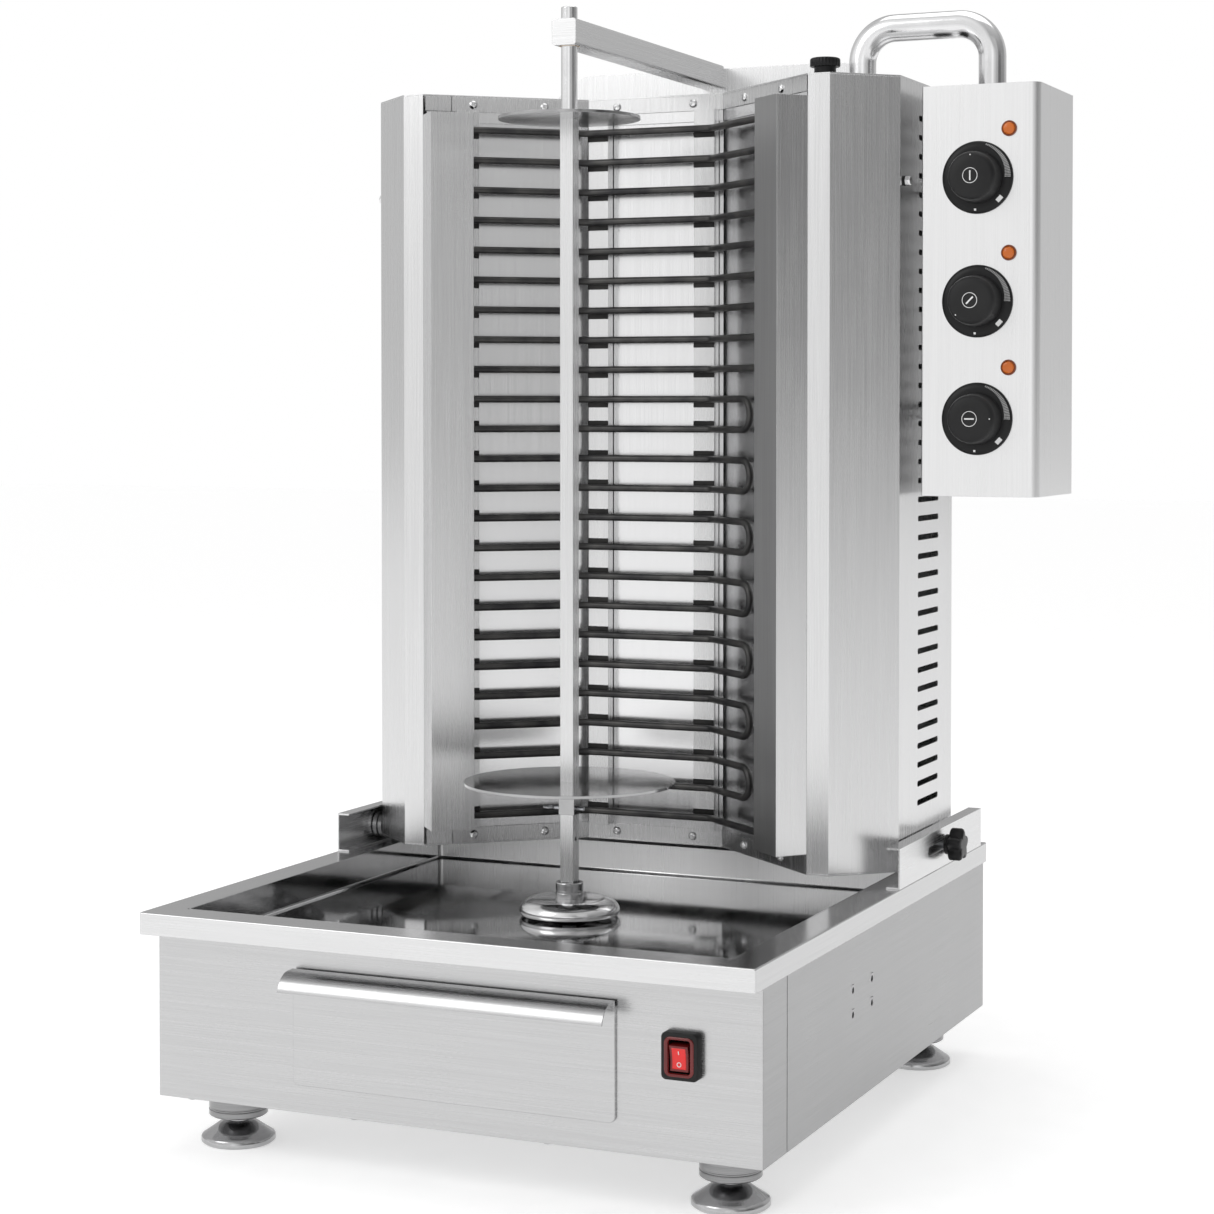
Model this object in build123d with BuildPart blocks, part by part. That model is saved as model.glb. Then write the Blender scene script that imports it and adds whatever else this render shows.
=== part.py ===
"""Vertical rotisserie broiler: electric, three heat zones, levelling feet, sliding heater tower.

Lengths are in millimetres.  The frame's origin is the centre of the overall footprint on the floor,
+Z is up and the front faces -Y.  Positions below are machine positions: x from the machine's own centre
plane, y back from the front panel, z up from the floor.  The planes plan(), front() and side() carry them
into the frame.
"""
from build123d import *
from math import cos, hypot, pi, radians, sin
import os

# ---------------------------------------------------------------- driving dimensions
SHEET = 1.5                    # casing sheet
THIN = 1.2                     # tray and box sheet
GAP = 0.3                      # running gap between bodies

BODY_W = 530.0                 # base cabinet, over its side panels
BODY_D = 592.0                 # base cabinet, front panel to rear panel
BODY_Z0 = 45.0                 # underside of the cabinet
BODY_Z1 = 182.0                # top of the cabinet, under the rim
RETURN_D = 51.0                # front panel's return along the side
SEAM_W = 1.4                   # open seam behind that return

RIM_SIDE = 3.0                 # rim overhang at the sides
RIM_FRONT = 24.0               # rim overhang at the front
RIM_Z1 = 200.0                 # worktop height
RIM_FLANGE = 28.0              # width of the rim's flat top

TRAY_FLOOR_Z = 173.0
TRAY_BACK_Y = 450.0            # rear wall of the sunk tray
TRAY_END_Y = 462.0             # rear edge of the tray's flange

FOOT_X = 220.0
FOOT_Y = (50.0, 528.0)

SPIN_Y = 232.0                 # spindle axis, on the centre plane
BAR = 12.0                     # square spindle bar
LOWER_DISC_R = 91.0
LOWER_DISC_Z = 287.0
UPPER_DISC_R = 61.0
UPPER_DISC_Z = 857.0
BAR_TOP_Z = 862.0
PIN_TOP_Z = 953.0

ARM = 22.5                     # square tube of the upper arm
ARM_Z0 = 919.5
MAST_Y = 565.0
MAST_HALF = 175.0
MAST_Z1 = 939.0

TOWER_Z0 = 208.0
TOWER_Z1 = 897.0
TIP_IN = (186.0, 316.0)        # inner edge of the tower's front tip
TIP_OUT = (206.0, 316.0)       # outer edge of the tip
CHEEK = (254.5, 361.0)         # slanted face meets the side
TOWER_BACK = (254.5, 519.0)
RECESS = (67.0, 420.0)         # corner between the side and middle reflectors
STRIP_H = 13.5                 # screwed strip round the reflectors

RODS = 24
ROD_TOP_Z = 864.0
ROD_PITCH = 27.3
ROD_R = 3.2
ROD_OFF = 14.0                 # rod axis in front of the reflectors

BOX_X0, BOX_X1 = 268.5, 372.0  # control box
BOX_Y0, BOX_Y1 = 378.0, 495.0
BOX_Z0, BOX_Z1 = 534.0, 888.0
DIAL_X = 318.5
DIAL_Z = (808.0, 702.0, 601.0)
LAMP_X = 346.0
LAMP_RISES = (41.0, 41.0, 44.0)  # each lamp's centre above its dial's centre

LAMP_SPOTS = [(LAMP_X, z + rise) for z, rise in zip(DIAL_Z, LAMP_RISES)]

RAIL_X = 268.0                 # outer face of the rails
RAIL_Y0 = {-1: 300.0, 1: 322.0}  # front ends of the left and right rails
RAIL_Y1 = 572.0
RAIL_Z1 = 235.0
CLAMP_Y, CLAMP_Z = 455.0, 219.0
SLIDE_FORWARD, SLIDE_BACK = 45.0, 40.0

GEAR_MODULE = 1.25
GEAR_TEETH, PINION_TEETH = 36, 12
GEAR_Z = 128.0
GEAR_FACE = 10.0

DRAWER_X = 5.0                 # middle of the drawer, off the centre plane
DRAWER_HALF = 141.0
DRAWER_Z0, DRAWER_Z1 = 67.5, 159.0
DRAWER_DEPTH = 186.0
GRIP_FACE = -3.0               # face of the drawer front, where the grip starts
GRIP_OUT = 24.5                # how far the grip stands out
GLAND_OUT = 14.0               # how far the cable gland stands out behind

# overall reach, which puts the footprint's centre at the origin
REACH_X = (-RAIL_X, BOX_X1)
REACH_Y = (GRIP_FACE - GRIP_OUT, BODY_D + GLAND_OUT)
MID_X = -(REACH_X[0] + REACH_X[1]) / 2
MID_Y = -(REACH_Y[0] + REACH_Y[1]) / 2

os.makedirs("parts", exist_ok=True)


# ---------------------------------------------------------------- datum planes and outlines
def plan(z):
    """Horizontal plane at height z, seen from above."""
    return Plane((MID_X, MID_Y, z))


def front(y):
    """Upright plane facing the front, y behind the front panel; its own y is height."""
    return Plane(origin=(MID_X, MID_Y + y, 0), x_dir=(1, 0, 0), z_dir=(0, -1, 0))


def side(x):
    """Upright plane facing right, x from the centre plane; its own x runs backwards, its y is height."""
    return Plane(origin=(MID_X + x, MID_Y, 0), x_dir=(0, 1, 0), z_dir=(1, 0, 0))


def mirrored(points):
    """Points on the right followed by the same points on the left, in reverse order."""
    return list(points) + [(-x, y) for x, y in reversed(points)]


def along(start, end, distance, off):
    """Point at a distance from start towards end, moved off to the right-hand side of that way."""
    length = hypot(end[0] - start[0], end[1] - start[1])
    ux, uy = (end[0] - start[0]) / length, (end[1] - start[1]) / length
    return (start[0] + ux * distance + uy * off, start[1] + uy * distance - ux * off)


def strip(start, end, off, thick, trim_start=0.0, trim_end=0.0):
    """Four corners of a sheet from start to end, whose near face lies off to the right of that way."""
    length = hypot(end[0] - start[0], end[1] - start[1])
    return [
        along(start, end, trim_start, off),
        along(start, end, length - trim_end, off),
        along(start, end, length - trim_end, off - thick),
        along(start, end, trim_start, off - thick),
    ]


def gear_points(teeth, module, root_share, tip_share):
    """Outline of a spur gear with straight-sided teeth, the first one centred on +X."""
    pitch_r = teeth * module / 2
    root_r, tip_r = pitch_r - 1.25 * module, pitch_r + 0.9 * module
    step = 2 * pi / teeth
    points = []
    for i in range(teeth):
        for radius, part in (
            (root_r, -root_share), (tip_r, -tip_share), (tip_r, tip_share), (root_r, root_share)
        ):
            angle = (i + part / 2) * step
            points.append((radius * cos(angle), radius * sin(angle)))
    return points


def save(piece, name):
    """Label a finished piece and write it."""
    piece.label = name
    export_step(piece, f"parts/{name}.step")


TIP_IN_L, RECESS_L = (-TIP_IN[0], TIP_IN[1]), (-RECESS[0], RECESS[1])
TRIM = 2.4                     # keeps the recess sheets clear of the casing's tips
PANELS = (                     # left, middle and right reflector: start, end, trim at each end
    (TIP_IN_L, RECESS_L, TRIM, 0.0),
    (RECESS_L, RECESS, 0.0, 0.0),
    (RECESS, TIP_IN, 0.0, TRIM),
)
HALF_W = BODY_W / 2
INNER_W = HALF_W - SHEET

# ---------------------------------------------------------------- base cabinet
SWITCH_X, SWITCH_Z = 201.0, 125.0
with BuildPart() as front_panel:
    with BuildSketch(plan(BODY_Z0)):
        with BuildLine():
            Polyline(
                (-HALF_W, RETURN_D), (-HALF_W, 0), (HALF_W, 0), (HALF_W, RETURN_D),
                (INNER_W, RETURN_D), (INNER_W, SHEET), (-INNER_W, SHEET), (-INNER_W, RETURN_D),
                close=True,
            )
        make_face()
    extrude(amount=BODY_Z1 - BODY_Z0)
    fillet(front_panel.edges().filter_by(Axis.Z).group_by(Axis.Y)[0], radius=1.2)
    with BuildSketch(front(0)):
        with Locations((DRAWER_X, (DRAWER_Z0 + DRAWER_Z1) / 2)):
            Rectangle(2 * DRAWER_HALF - 10, DRAWER_Z1 - DRAWER_Z0 - 8)
        with Locations((SWITCH_X, SWITCH_Z)):
            Rectangle(24, 31)
    extrude(amount=-SHEET, mode=Mode.SUBTRACT)
save(front_panel.part, "front_panel")

BEAM_SCREWS = [(SPIN_Y + dy, z) for dy in (-24.5, 24.5) for z in (117.0, 137.0)]
with BuildPart() as body_shell:
    with BuildSketch(plan(BODY_Z0)):
        with BuildLine():
            Polyline(
                (-HALF_W, RETURN_D + SEAM_W), (-HALF_W, BODY_D), (HALF_W, BODY_D), (HALF_W, RETURN_D + SEAM_W),
                (INNER_W, RETURN_D + SEAM_W), (INNER_W, BODY_D - SHEET), (-INNER_W, BODY_D - SHEET),
                (-INNER_W, RETURN_D + SEAM_W),
                close=True,
            )
        make_face()
    extrude(amount=BODY_Z1 - BODY_Z0)
    fillet(body_shell.edges().filter_by(Axis.Z).group_by(Axis.Y)[-1], radius=1.2)
    with BuildSketch(side(-HALF_W)):
        with Locations(*BEAM_SCREWS):
            Circle(2.6)
    extrude(amount=BODY_W, mode=Mode.SUBTRACT)
    with BuildSketch(front(BODY_D)):
        with Locations((150, 100)):
            Circle(8.1)
        with Locations(*[(x, 150) for x in range(-100, 101, 20)]):
            SlotOverall(40, 6, rotation=90)
    extrude(amount=SHEET, mode=Mode.SUBTRACT)
save(body_shell.part, "body_shell")

with BuildPart() as bottom_plate:
    with BuildSketch(plan(BODY_Z0)):
        with Locations((0, BODY_D / 2)):
            Rectangle(2 * INNER_W, BODY_D - 2 * SHEET)
        with Locations(*[(x, y) for x in (-FOOT_X, FOOT_X) for y in FOOT_Y]):
            Circle(7.0, mode=Mode.SUBTRACT)
        with Locations(*[(x, y) for x in (-120, -60, 0, 60, 120) for y in (360, 430)]):
            SlotOverall(46, 6, mode=Mode.SUBTRACT)
    extrude(amount=SHEET)
save(bottom_plate.part, "bottom_plate")

# ---------------------------------------------------------------- rim, tray and rear deck
RIM_HALF = HALF_W + RIM_SIDE
RIM_D = BODY_D + RIM_FRONT
OPEN_HALF = RIM_HALF - RIM_FLANGE
OPEN_Y = (RIM_FLANGE - RIM_FRONT, BODY_D - RIM_FLANGE)
with BuildPart() as top_frame:
    with BuildSketch(plan(BODY_Z1)):
        with Locations((0, BODY_D - RIM_D / 2)):
            Rectangle(2 * RIM_HALF, RIM_D)
    extrude(amount=RIM_Z1 - BODY_Z1)
    fillet(top_frame.edges().filter_by(Axis.Z), radius=1.5)
    fillet(top_frame.faces().sort_by(Axis.Z)[-1].edges(), radius=1.2)
    with BuildSketch(plan(BODY_Z1 + SHEET)):
        with Locations((0, BODY_D - RIM_D / 2)):
            Rectangle(2 * (RIM_HALF - SHEET), RIM_D - 2 * SHEET)
    extrude(amount=RIM_Z1 - BODY_Z1 - 2 * SHEET, mode=Mode.SUBTRACT)
    with BuildSketch(plan(RIM_Z1)):
        with Locations((0, sum(OPEN_Y) / 2)):
            Rectangle(2 * OPEN_HALF, OPEN_Y[1] - OPEN_Y[0])
    extrude(amount=-SHEET, mode=Mode.SUBTRACT)
    with BuildSketch(plan(BODY_Z1)):
        with Locations((0, BODY_D / 2)):
            Rectangle(2 * (HALF_W - 4), BODY_D - 8)
    extrude(amount=SHEET, mode=Mode.SUBTRACT)
save(top_frame.part, "top_frame")

TRAY_HALF = OPEN_HALF - 0.15
TRAY_Y0 = OPEN_Y[0] + 0.15
SHAFT_HOLE_R = 14.0
with BuildPart() as drip_tray:
    with BuildSketch(plan(TRAY_FLOOR_Z - THIN)):
        with Locations((0, (TRAY_Y0 + TRAY_BACK_Y) / 2)):
            RectangleRounded(2 * TRAY_HALF, TRAY_BACK_Y - TRAY_Y0, 4)
    extrude(amount=RIM_Z1 - TRAY_FLOOR_Z + THIN)
    with BuildSketch(plan(TRAY_FLOOR_Z)):
        with Locations((0, (TRAY_Y0 + TRAY_BACK_Y) / 2)):
            RectangleRounded(2 * (TRAY_HALF - THIN), TRAY_BACK_Y - TRAY_Y0 - 2 * THIN, 3)
    extrude(amount=RIM_Z1 - TRAY_FLOOR_Z, mode=Mode.SUBTRACT)
    floor = drip_tray.faces().filter_by_position(Axis.Z, TRAY_FLOOR_Z - 0.01, TRAY_FLOOR_Z + 0.01)
    fillet(floor.edges(), radius=2.4)
    with BuildSketch(plan(RIM_Z1 - THIN)):
        with Locations((0, (TRAY_BACK_Y - THIN + TRAY_END_Y) / 2)):
            Rectangle(2 * TRAY_HALF, TRAY_END_Y - TRAY_BACK_Y + THIN)
    extrude(amount=THIN)
    with BuildSketch(plan(RIM_Z1 - 14)):
        with Locations((0, TRAY_END_Y - THIN / 2)):
            Rectangle(2 * TRAY_HALF, THIN)
    extrude(amount=14)
    with BuildSketch(plan(TRAY_FLOOR_Z - THIN)):
        with Locations((0, SPIN_Y)):
            Circle(SHAFT_HOLE_R + THIN)
    extrude(amount=THIN + 6)
    with BuildSketch(plan(TRAY_FLOOR_Z - THIN)):
        with Locations((0, SPIN_Y)):
            Circle(SHAFT_HOLE_R)
        with Locations((0, 70)):
            Circle(16)
    extrude(amount=THIN + 8, mode=Mode.SUBTRACT)
save(drip_tray.part, "drip_tray")

with BuildPart() as rear_deck:
    with BuildSketch(plan(RIM_Z1 - THIN)):
        with Locations((0, (TRAY_END_Y + 0.8 + OPEN_Y[1] - 0.15) / 2)):
            Rectangle(2 * TRAY_HALF, OPEN_Y[1] - 0.15 - TRAY_END_Y - 0.8)
    extrude(amount=THIN)
    with BuildSketch(plan(RIM_Z1 - 14)):
        with Locations((0, TRAY_END_Y + 0.8 + THIN / 2)):
            Rectangle(2 * TRAY_HALF, THIN)
    extrude(amount=14)
save(rear_deck.part, "rear_deck")

# ---------------------------------------------------------------- rails for the tower, mast and arm
RAIL_WEB = RAIL_X - SHEET
RAIL_LIP = RAIL_X - 12.0
with BuildPart() as rails:
    for hand in (-1, 1):
        with BuildSketch(front(RAIL_Y1)):
            with BuildLine():
                Polyline(
                    (hand * RAIL_LIP, RIM_Z1), (hand * RAIL_X, RIM_Z1), (hand * RAIL_X, RAIL_Z1),
                    (hand * RAIL_LIP, RAIL_Z1), (hand * RAIL_LIP, RAIL_Z1 - SHEET),
                    (hand * RAIL_WEB, RAIL_Z1 - SHEET), (hand * RAIL_WEB, RIM_Z1 + SHEET),
                    (hand * RAIL_LIP, RIM_Z1 + SHEET),
                    close=True,
                )
            make_face()
        extrude(amount=RAIL_Y1 - RAIL_Y0[hand])
    with BuildSketch(side(0)):
        with Locations((CLAMP_Y + (SLIDE_BACK - SLIDE_FORWARD) / 2, CLAMP_Z)):
            SlotCenterToCenter(SLIDE_FORWARD + SLIDE_BACK + 2, 9)
    extrude(amount=RAIL_X + 1, mode=Mode.SUBTRACT)
save(rails.part, "rails")

MAST_R = 50.0
MAST_D = BODY_D - MAST_Y - 2
with BuildPart() as rear_mast:
    with BuildSketch(front(MAST_Y + MAST_D)):
        with BuildLine():
            Polyline((-MAST_HALF, MAST_Z1 - MAST_R), (-MAST_HALF, RIM_Z1), (MAST_HALF, RIM_Z1),
                     (MAST_HALF, MAST_Z1 - MAST_R))
            RadiusArc((MAST_HALF, MAST_Z1 - MAST_R), (MAST_HALF - MAST_R, MAST_Z1), -MAST_R)
            Line((MAST_HALF - MAST_R, MAST_Z1), (-MAST_HALF + MAST_R, MAST_Z1))
            RadiusArc((-MAST_HALF + MAST_R, MAST_Z1), (-MAST_HALF, MAST_Z1 - MAST_R), -MAST_R)
        make_face()
    extrude(amount=MAST_D)
    offset(amount=-SHEET, openings=rear_mast.faces().sort_by(Axis.Y)[-1])
save(rear_mast.part, "rear_mast")

PIN_R = 7.0
BUSH_R = 9.0
with BuildPart() as spindle_arm:
    with BuildSketch(front(MAST_Y)):
        with Locations((0, ARM_Z0 + ARM / 2)):
            RectangleRounded(ARM, ARM, 2.5)
            RectangleRounded(ARM - 4, ARM - 4, 1.0, mode=Mode.SUBTRACT)
    extrude(amount=MAST_Y - SPIN_Y + ARM / 2 - 2)
    with BuildSketch(front(SPIN_Y - ARM / 2 + 2)):
        with Locations((0, ARM_Z0 + ARM / 2)):
            RectangleRounded(ARM, ARM, 2.5)
    extrude(amount=2)
    with BuildSketch(plan(ARM_Z0)):
        with Locations((0, SPIN_Y)):
            Circle(BUSH_R)
    extrude(amount=ARM, mode=Mode.SUBTRACT)
save(spindle_arm.part, "spindle_arm")

with BuildPart() as arm_bush:
    with BuildSketch(plan(ARM_Z0)):
        with Locations((0, SPIN_Y)):
            Circle(BUSH_R)
            Circle(PIN_R + 0.06, mode=Mode.SUBTRACT)
    extrude(amount=ARM)
save(arm_bush.part, "arm_bush")

# ---------------------------------------------------------------- drive under the tray
BEAM_HALF_D = 31.0
BEAM_Z0, BEAM_Z1 = 110.0, 152.0
BEAM_T = 2.0
SHAFT_R = 6.0
BEARING_R = 11.0
with BuildPart() as cross_beam:
    with BuildSketch(plan(BEAM_Z0)):
        with Locations((0, SPIN_Y)):
            Rectangle(2 * INNER_W, 2 * BEAM_HALF_D)
    extrude(amount=BEAM_Z1 - BEAM_Z0)
    offset(amount=-BEAM_T, openings=cross_beam.faces().sort_by(Axis.Z)[0])
    with BuildSketch(plan(BEAM_Z1)):
        with Locations((0, SPIN_Y)):
            Circle(BEARING_R)
    extrude(amount=-BEAM_T, mode=Mode.SUBTRACT)
    with BuildSketch(side(-HALF_W)):
        with Locations(*BEAM_SCREWS):
            Circle(2.1)
    extrude(amount=BODY_W, mode=Mode.SUBTRACT)
save(cross_beam.part, "cross_beam")

with BuildPart() as shaft_bearing:
    with BuildSketch(plan(BEAM_Z1 - BEAM_T)):
        with Locations((0, SPIN_Y)):
            Circle(BEARING_R)
    extrude(amount=18)
    with BuildSketch(plan(BEAM_Z1)):
        with Locations((0, SPIN_Y)):
            Circle(18)
    extrude(amount=3)
    with BuildSketch(plan(BEAM_Z1 - BEAM_T)):
        with Locations((0, SPIN_Y)):
            Circle(SHAFT_R + 0.06)
    extrude(amount=18, mode=Mode.SUBTRACT)
save(shaft_bearing.part, "shaft_bearing")

CENTRES = (GEAR_TEETH + PINION_TEETH) * GEAR_MODULE / 2
PINION_X = -CENTRES
CASE_X = (PINION_X - 14.0, 28.0)
CASE_Z0, CASE_Z1 = 122.0, 150.0
with BuildPart() as gear_case:
    with BuildSketch(plan(CASE_Z0)):
        with Locations((sum(CASE_X) / 2, SPIN_Y)):
            RectangleRounded(CASE_X[1] - CASE_X[0], 56, 8)
    extrude(amount=CASE_Z1 - CASE_Z0)
    offset(amount=-2.0, openings=gear_case.faces().sort_by(Axis.Z)[-1])
    with BuildSketch(plan(CASE_Z0)):
        with Locations((PINION_X, SPIN_Y)):
            Circle(5)
    extrude(amount=2, mode=Mode.SUBTRACT)
save(gear_case.part, "gear_case")

MOTOR_R = 29.0
with BuildPart() as gear_motor:
    with BuildSketch(plan(56)):
        with Locations((PINION_X, SPIN_Y)):
            Circle(MOTOR_R)
    extrude(amount=CASE_Z0 - 56)
    fillet(gear_motor.edges().group_by(Axis.Z)[0], radius=5)
    with BuildSketch(plan(CASE_Z0 - 14)):
        with Locations((PINION_X, SPIN_Y)):
            Circle(3.06)
    extrude(amount=14, mode=Mode.SUBTRACT)
    with BuildSketch(plan(70)):
        with Locations((PINION_X + MOTOR_R, SPIN_Y)):
            Rectangle(16, 24)
    extrude(amount=30)
save(gear_motor.part, "gear_motor")

with BuildPart() as motor_pinion:
    with BuildSketch(plan(GEAR_Z)):
        with Locations((PINION_X, SPIN_Y)):
            with BuildLine(mode=Mode.PRIVATE) as pinion_line:
                Polyline(*gear_points(PINION_TEETH, GEAR_MODULE, 0.62, 0.22), close=True)
            add(make_face(pinion_line.edges(), mode=Mode.PRIVATE), rotation=180.0 / PINION_TEETH)
    extrude(amount=GEAR_FACE)
    with BuildSketch(plan(CASE_Z0 - 13)):
        with Locations((PINION_X, SPIN_Y)):
            Circle(3.0)
    extrude(amount=GEAR_Z - CASE_Z0 + 13)
save(motor_pinion.part, "motor_pinion")

SOCKET_Z0, SOCKET_Z1 = 189.0, 202.5
BAR_Z0 = 192.0
with BuildPart() as drive_gear:
    with BuildSketch(plan(GEAR_Z)):
        with Locations((0, SPIN_Y)):
            with BuildLine(mode=Mode.PRIVATE) as gear_line:
                Polyline(*gear_points(GEAR_TEETH, GEAR_MODULE, 0.62, 0.22), close=True)
            add(make_face(gear_line.edges(), mode=Mode.PRIVATE))
            Circle(SHAFT_R, mode=Mode.SUBTRACT)
    extrude(amount=GEAR_FACE)
save(drive_gear.part, "drive_gear")

with BuildPart() as drive_shaft:
    with BuildSketch(plan(CASE_Z0 + 3)):
        with Locations((0, SPIN_Y)):
            Circle(SHAFT_R)
    extrude(amount=BAR_Z0 - CASE_Z0 - 3)
save(drive_shaft.part, "drive_shaft")

with BuildPart() as shaft_seal:
    with BuildSketch(plan(TRAY_FLOOR_Z)):
        with Locations((0, SPIN_Y)):
            Circle(SHAFT_HOLE_R)
            Circle(SHAFT_R + 0.06, mode=Mode.SUBTRACT)
    extrude(amount=4)
save(shaft_seal.part, "shaft_seal")

DOME_R = 43.5
with BuildPart() as drip_dome:
    with BuildSketch(side(0)):
        with BuildLine():
            Polyline((SPIN_Y + SHAFT_R, SOCKET_Z0), (SPIN_Y + 29, SOCKET_Z0))
            ThreePointArc(
                (SPIN_Y + 29, SOCKET_Z0), (SPIN_Y + 39, SOCKET_Z0 - 3.4), (SPIN_Y + DOME_R, SOCKET_Z0 - 10.5)
            )
            Polyline(
                (SPIN_Y + DOME_R, SOCKET_Z0 - 10.5), (SPIN_Y + DOME_R - 1.2, SOCKET_Z0 - 13.5),
                (SPIN_Y + DOME_R - 2.6, SOCKET_Z0 - 12.8), (SPIN_Y + DOME_R - 2.0, SOCKET_Z0 - 10.5),
            )
            ThreePointArc(
                (SPIN_Y + DOME_R - 2.0, SOCKET_Z0 - 10.5), (SPIN_Y + 37.4, SOCKET_Z0 - 4.8),
                (SPIN_Y + 28, SOCKET_Z0 - THIN),
            )
            Polyline(
                (SPIN_Y + 28, SOCKET_Z0 - THIN), (SPIN_Y + SHAFT_R, SOCKET_Z0 - THIN),
                (SPIN_Y + SHAFT_R, SOCKET_Z0),
            )
        make_face()
    revolve(axis=Axis((MID_X, MID_Y + SPIN_Y, 0), (0, 0, 1)))
save(drip_dome.part, "drip_dome")

SOCKET_R = 12.0
with BuildPart() as drive_socket:
    with BuildSketch(plan(SOCKET_Z0)):
        with Locations((0, SPIN_Y)):
            Circle(SOCKET_R)
    extrude(amount=SOCKET_Z1 - SOCKET_Z0)
    chamfer(drive_socket.edges().group_by(Axis.Z)[-1], length=0.6)
    with BuildSketch(plan(SOCKET_Z0)):
        with Locations((0, SPIN_Y)):
            Circle(SHAFT_R)
    extrude(amount=BAR_Z0 - SOCKET_Z0, mode=Mode.SUBTRACT)
    with BuildSketch(plan(BAR_Z0)):
        with Locations((0, SPIN_Y)):
            Rectangle(BAR + 0.1, BAR + 0.1)
    extrude(amount=SOCKET_Z1 - BAR_Z0, mode=Mode.SUBTRACT)
    with BuildSketch(side(SOCKET_R)):
        with Locations((SPIN_Y, SOCKET_Z1 - 5)):
            Rectangle(4, 12)
    extrude(amount=-SOCKET_R, mode=Mode.SUBTRACT)
save(drive_socket.part, "drive_socket")

# ---------------------------------------------------------------- spindle
HITCH_Z = 266.0
HITCH_R = 2.0
SPIGOT_R = 4.8
with BuildPart() as spindle_bar:
    with BuildSketch(plan(BAR_Z0)):
        with Locations((0, SPIN_Y)):
            Rectangle(BAR, BAR)
    extrude(amount=BAR_TOP_Z - BAR_Z0)
    with BuildSketch(plan(BAR_TOP_Z)):
        with Locations((0, SPIN_Y)):
            Circle(SPIGOT_R)
    extrude(amount=24)
    with BuildSketch(side(0)):
        with Locations((SPIN_Y, HITCH_Z), (SPIN_Y, HITCH_Z - 26)):
            Circle(HITCH_R)
    extrude(amount=BAR, both=True, mode=Mode.SUBTRACT)
save(spindle_bar.part, "spindle_bar")

with BuildPart() as top_pin:
    with BuildSketch(plan(BAR_TOP_Z)):
        with Locations((0, SPIN_Y)):
            Circle(PIN_R)
    extrude(amount=PIN_TOP_Z - BAR_TOP_Z)
    fillet(top_pin.edges().group_by(Axis.Z)[-1], radius=1)
    with BuildSketch(plan(BAR_TOP_Z)):
        with Locations((0, SPIN_Y)):
            Circle(SPIGOT_R)
    extrude(amount=25, mode=Mode.SUBTRACT)
save(top_pin.part, "top_pin")

with BuildPart() as upper_disc:
    with BuildSketch(plan(UPPER_DISC_Z)):
        with Locations((0, SPIN_Y)):
            Circle(UPPER_DISC_R)
            Rectangle(BAR, BAR, mode=Mode.SUBTRACT)
    extrude(amount=2.5)
    with BuildSketch(plan(UPPER_DISC_Z + 2.5)):
        with Locations((0, SPIN_Y)):
            Circle(10.5)
    extrude(amount=5)
    with BuildSketch(plan(UPPER_DISC_Z + 2.5)):
        with Locations((0, SPIN_Y)):
            Circle(9)
    extrude(amount=BAR_TOP_Z - UPPER_DISC_Z - 2.5, mode=Mode.SUBTRACT)
    with BuildSketch(plan(BAR_TOP_Z)):
        with Locations((0, SPIN_Y)):
            Circle(PIN_R)
    extrude(amount=5, mode=Mode.SUBTRACT)
save(upper_disc.part, "upper_disc")

HUB = 14.6
with BuildPart() as lower_disc:
    with BuildSketch(plan(LOWER_DISC_Z)):
        with Locations((0, SPIN_Y)):
            Circle(LOWER_DISC_R)
    extrude(amount=2.5)
    with BuildSketch(plan(HITCH_Z - 5)):
        with Locations((0, SPIN_Y)):
            RectangleRounded(HUB, HUB, 1)
    extrude(amount=LOWER_DISC_Z - HITCH_Z + 5)
    with BuildSketch(plan(HITCH_Z - 5)):
        with Locations((0, SPIN_Y)):
            Rectangle(BAR, BAR)
    extrude(amount=40, mode=Mode.SUBTRACT)
    with BuildSketch(side(0)):
        with Locations((SPIN_Y, HITCH_Z)):
            Circle(HITCH_R)
    extrude(amount=HUB, both=True, mode=Mode.SUBTRACT)
save(lower_disc.part, "lower_disc")

with BuildPart() as hitch_pin:
    with BuildSketch(side(-14)):
        with Locations((SPIN_Y, HITCH_Z)):
            Circle(HITCH_R)
    extrude(amount=28)
    with BuildSketch(plan(HITCH_Z)):
        with Locations((-19, SPIN_Y)):
            Circle(6)
            Circle(3.4, mode=Mode.SUBTRACT)
    extrude(amount=1.3, both=True)
save(hitch_pin.part, "hitch_pin")

# ---------------------------------------------------------------- levelling feet
COLLAR_Z0 = 23.0
FOOT_SPOTS = {
    "front_left": (-FOOT_X, FOOT_Y[0]),
    "front_right": (FOOT_X, FOOT_Y[0]),
    "rear_left": (-FOOT_X, FOOT_Y[1]),
    "rear_right": (FOOT_X, FOOT_Y[1]),
}
with BuildPart() as foot_collars:
    with BuildSketch(plan(COLLAR_Z0)):
        with Locations(*FOOT_SPOTS.values()):
            Circle(24.5)
            Circle(6.1, mode=Mode.SUBTRACT)
    extrude(amount=BODY_Z0 - COLLAR_Z0)
save(foot_collars.part, "foot_collars")

for spot, (foot_x, foot_y) in FOOT_SPOTS.items():
    with BuildPart() as foot:
        with BuildSketch(side(foot_x)):
            with BuildLine():
                Polyline(
                    (foot_y, 0), (foot_y + 29, 0), (foot_y + 31, 2), (foot_y + 31, 5.5), (foot_y + 29, 7.5),
                    (foot_y + 15, 17), (foot_y + 9, 18.5), (foot_y + 9, COLLAR_Z0 - 0.5),
                    (foot_y + 6, COLLAR_Z0 - 0.5),
                    (foot_y + 6, 60), (foot_y, 60),
                    close=True,
                )
            make_face()
        revolve(axis=Axis((MID_X + foot_x, MID_Y + foot_y, 0), (0, 0, 1)))
    save(foot.part, f"foot_{spot}")

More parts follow.
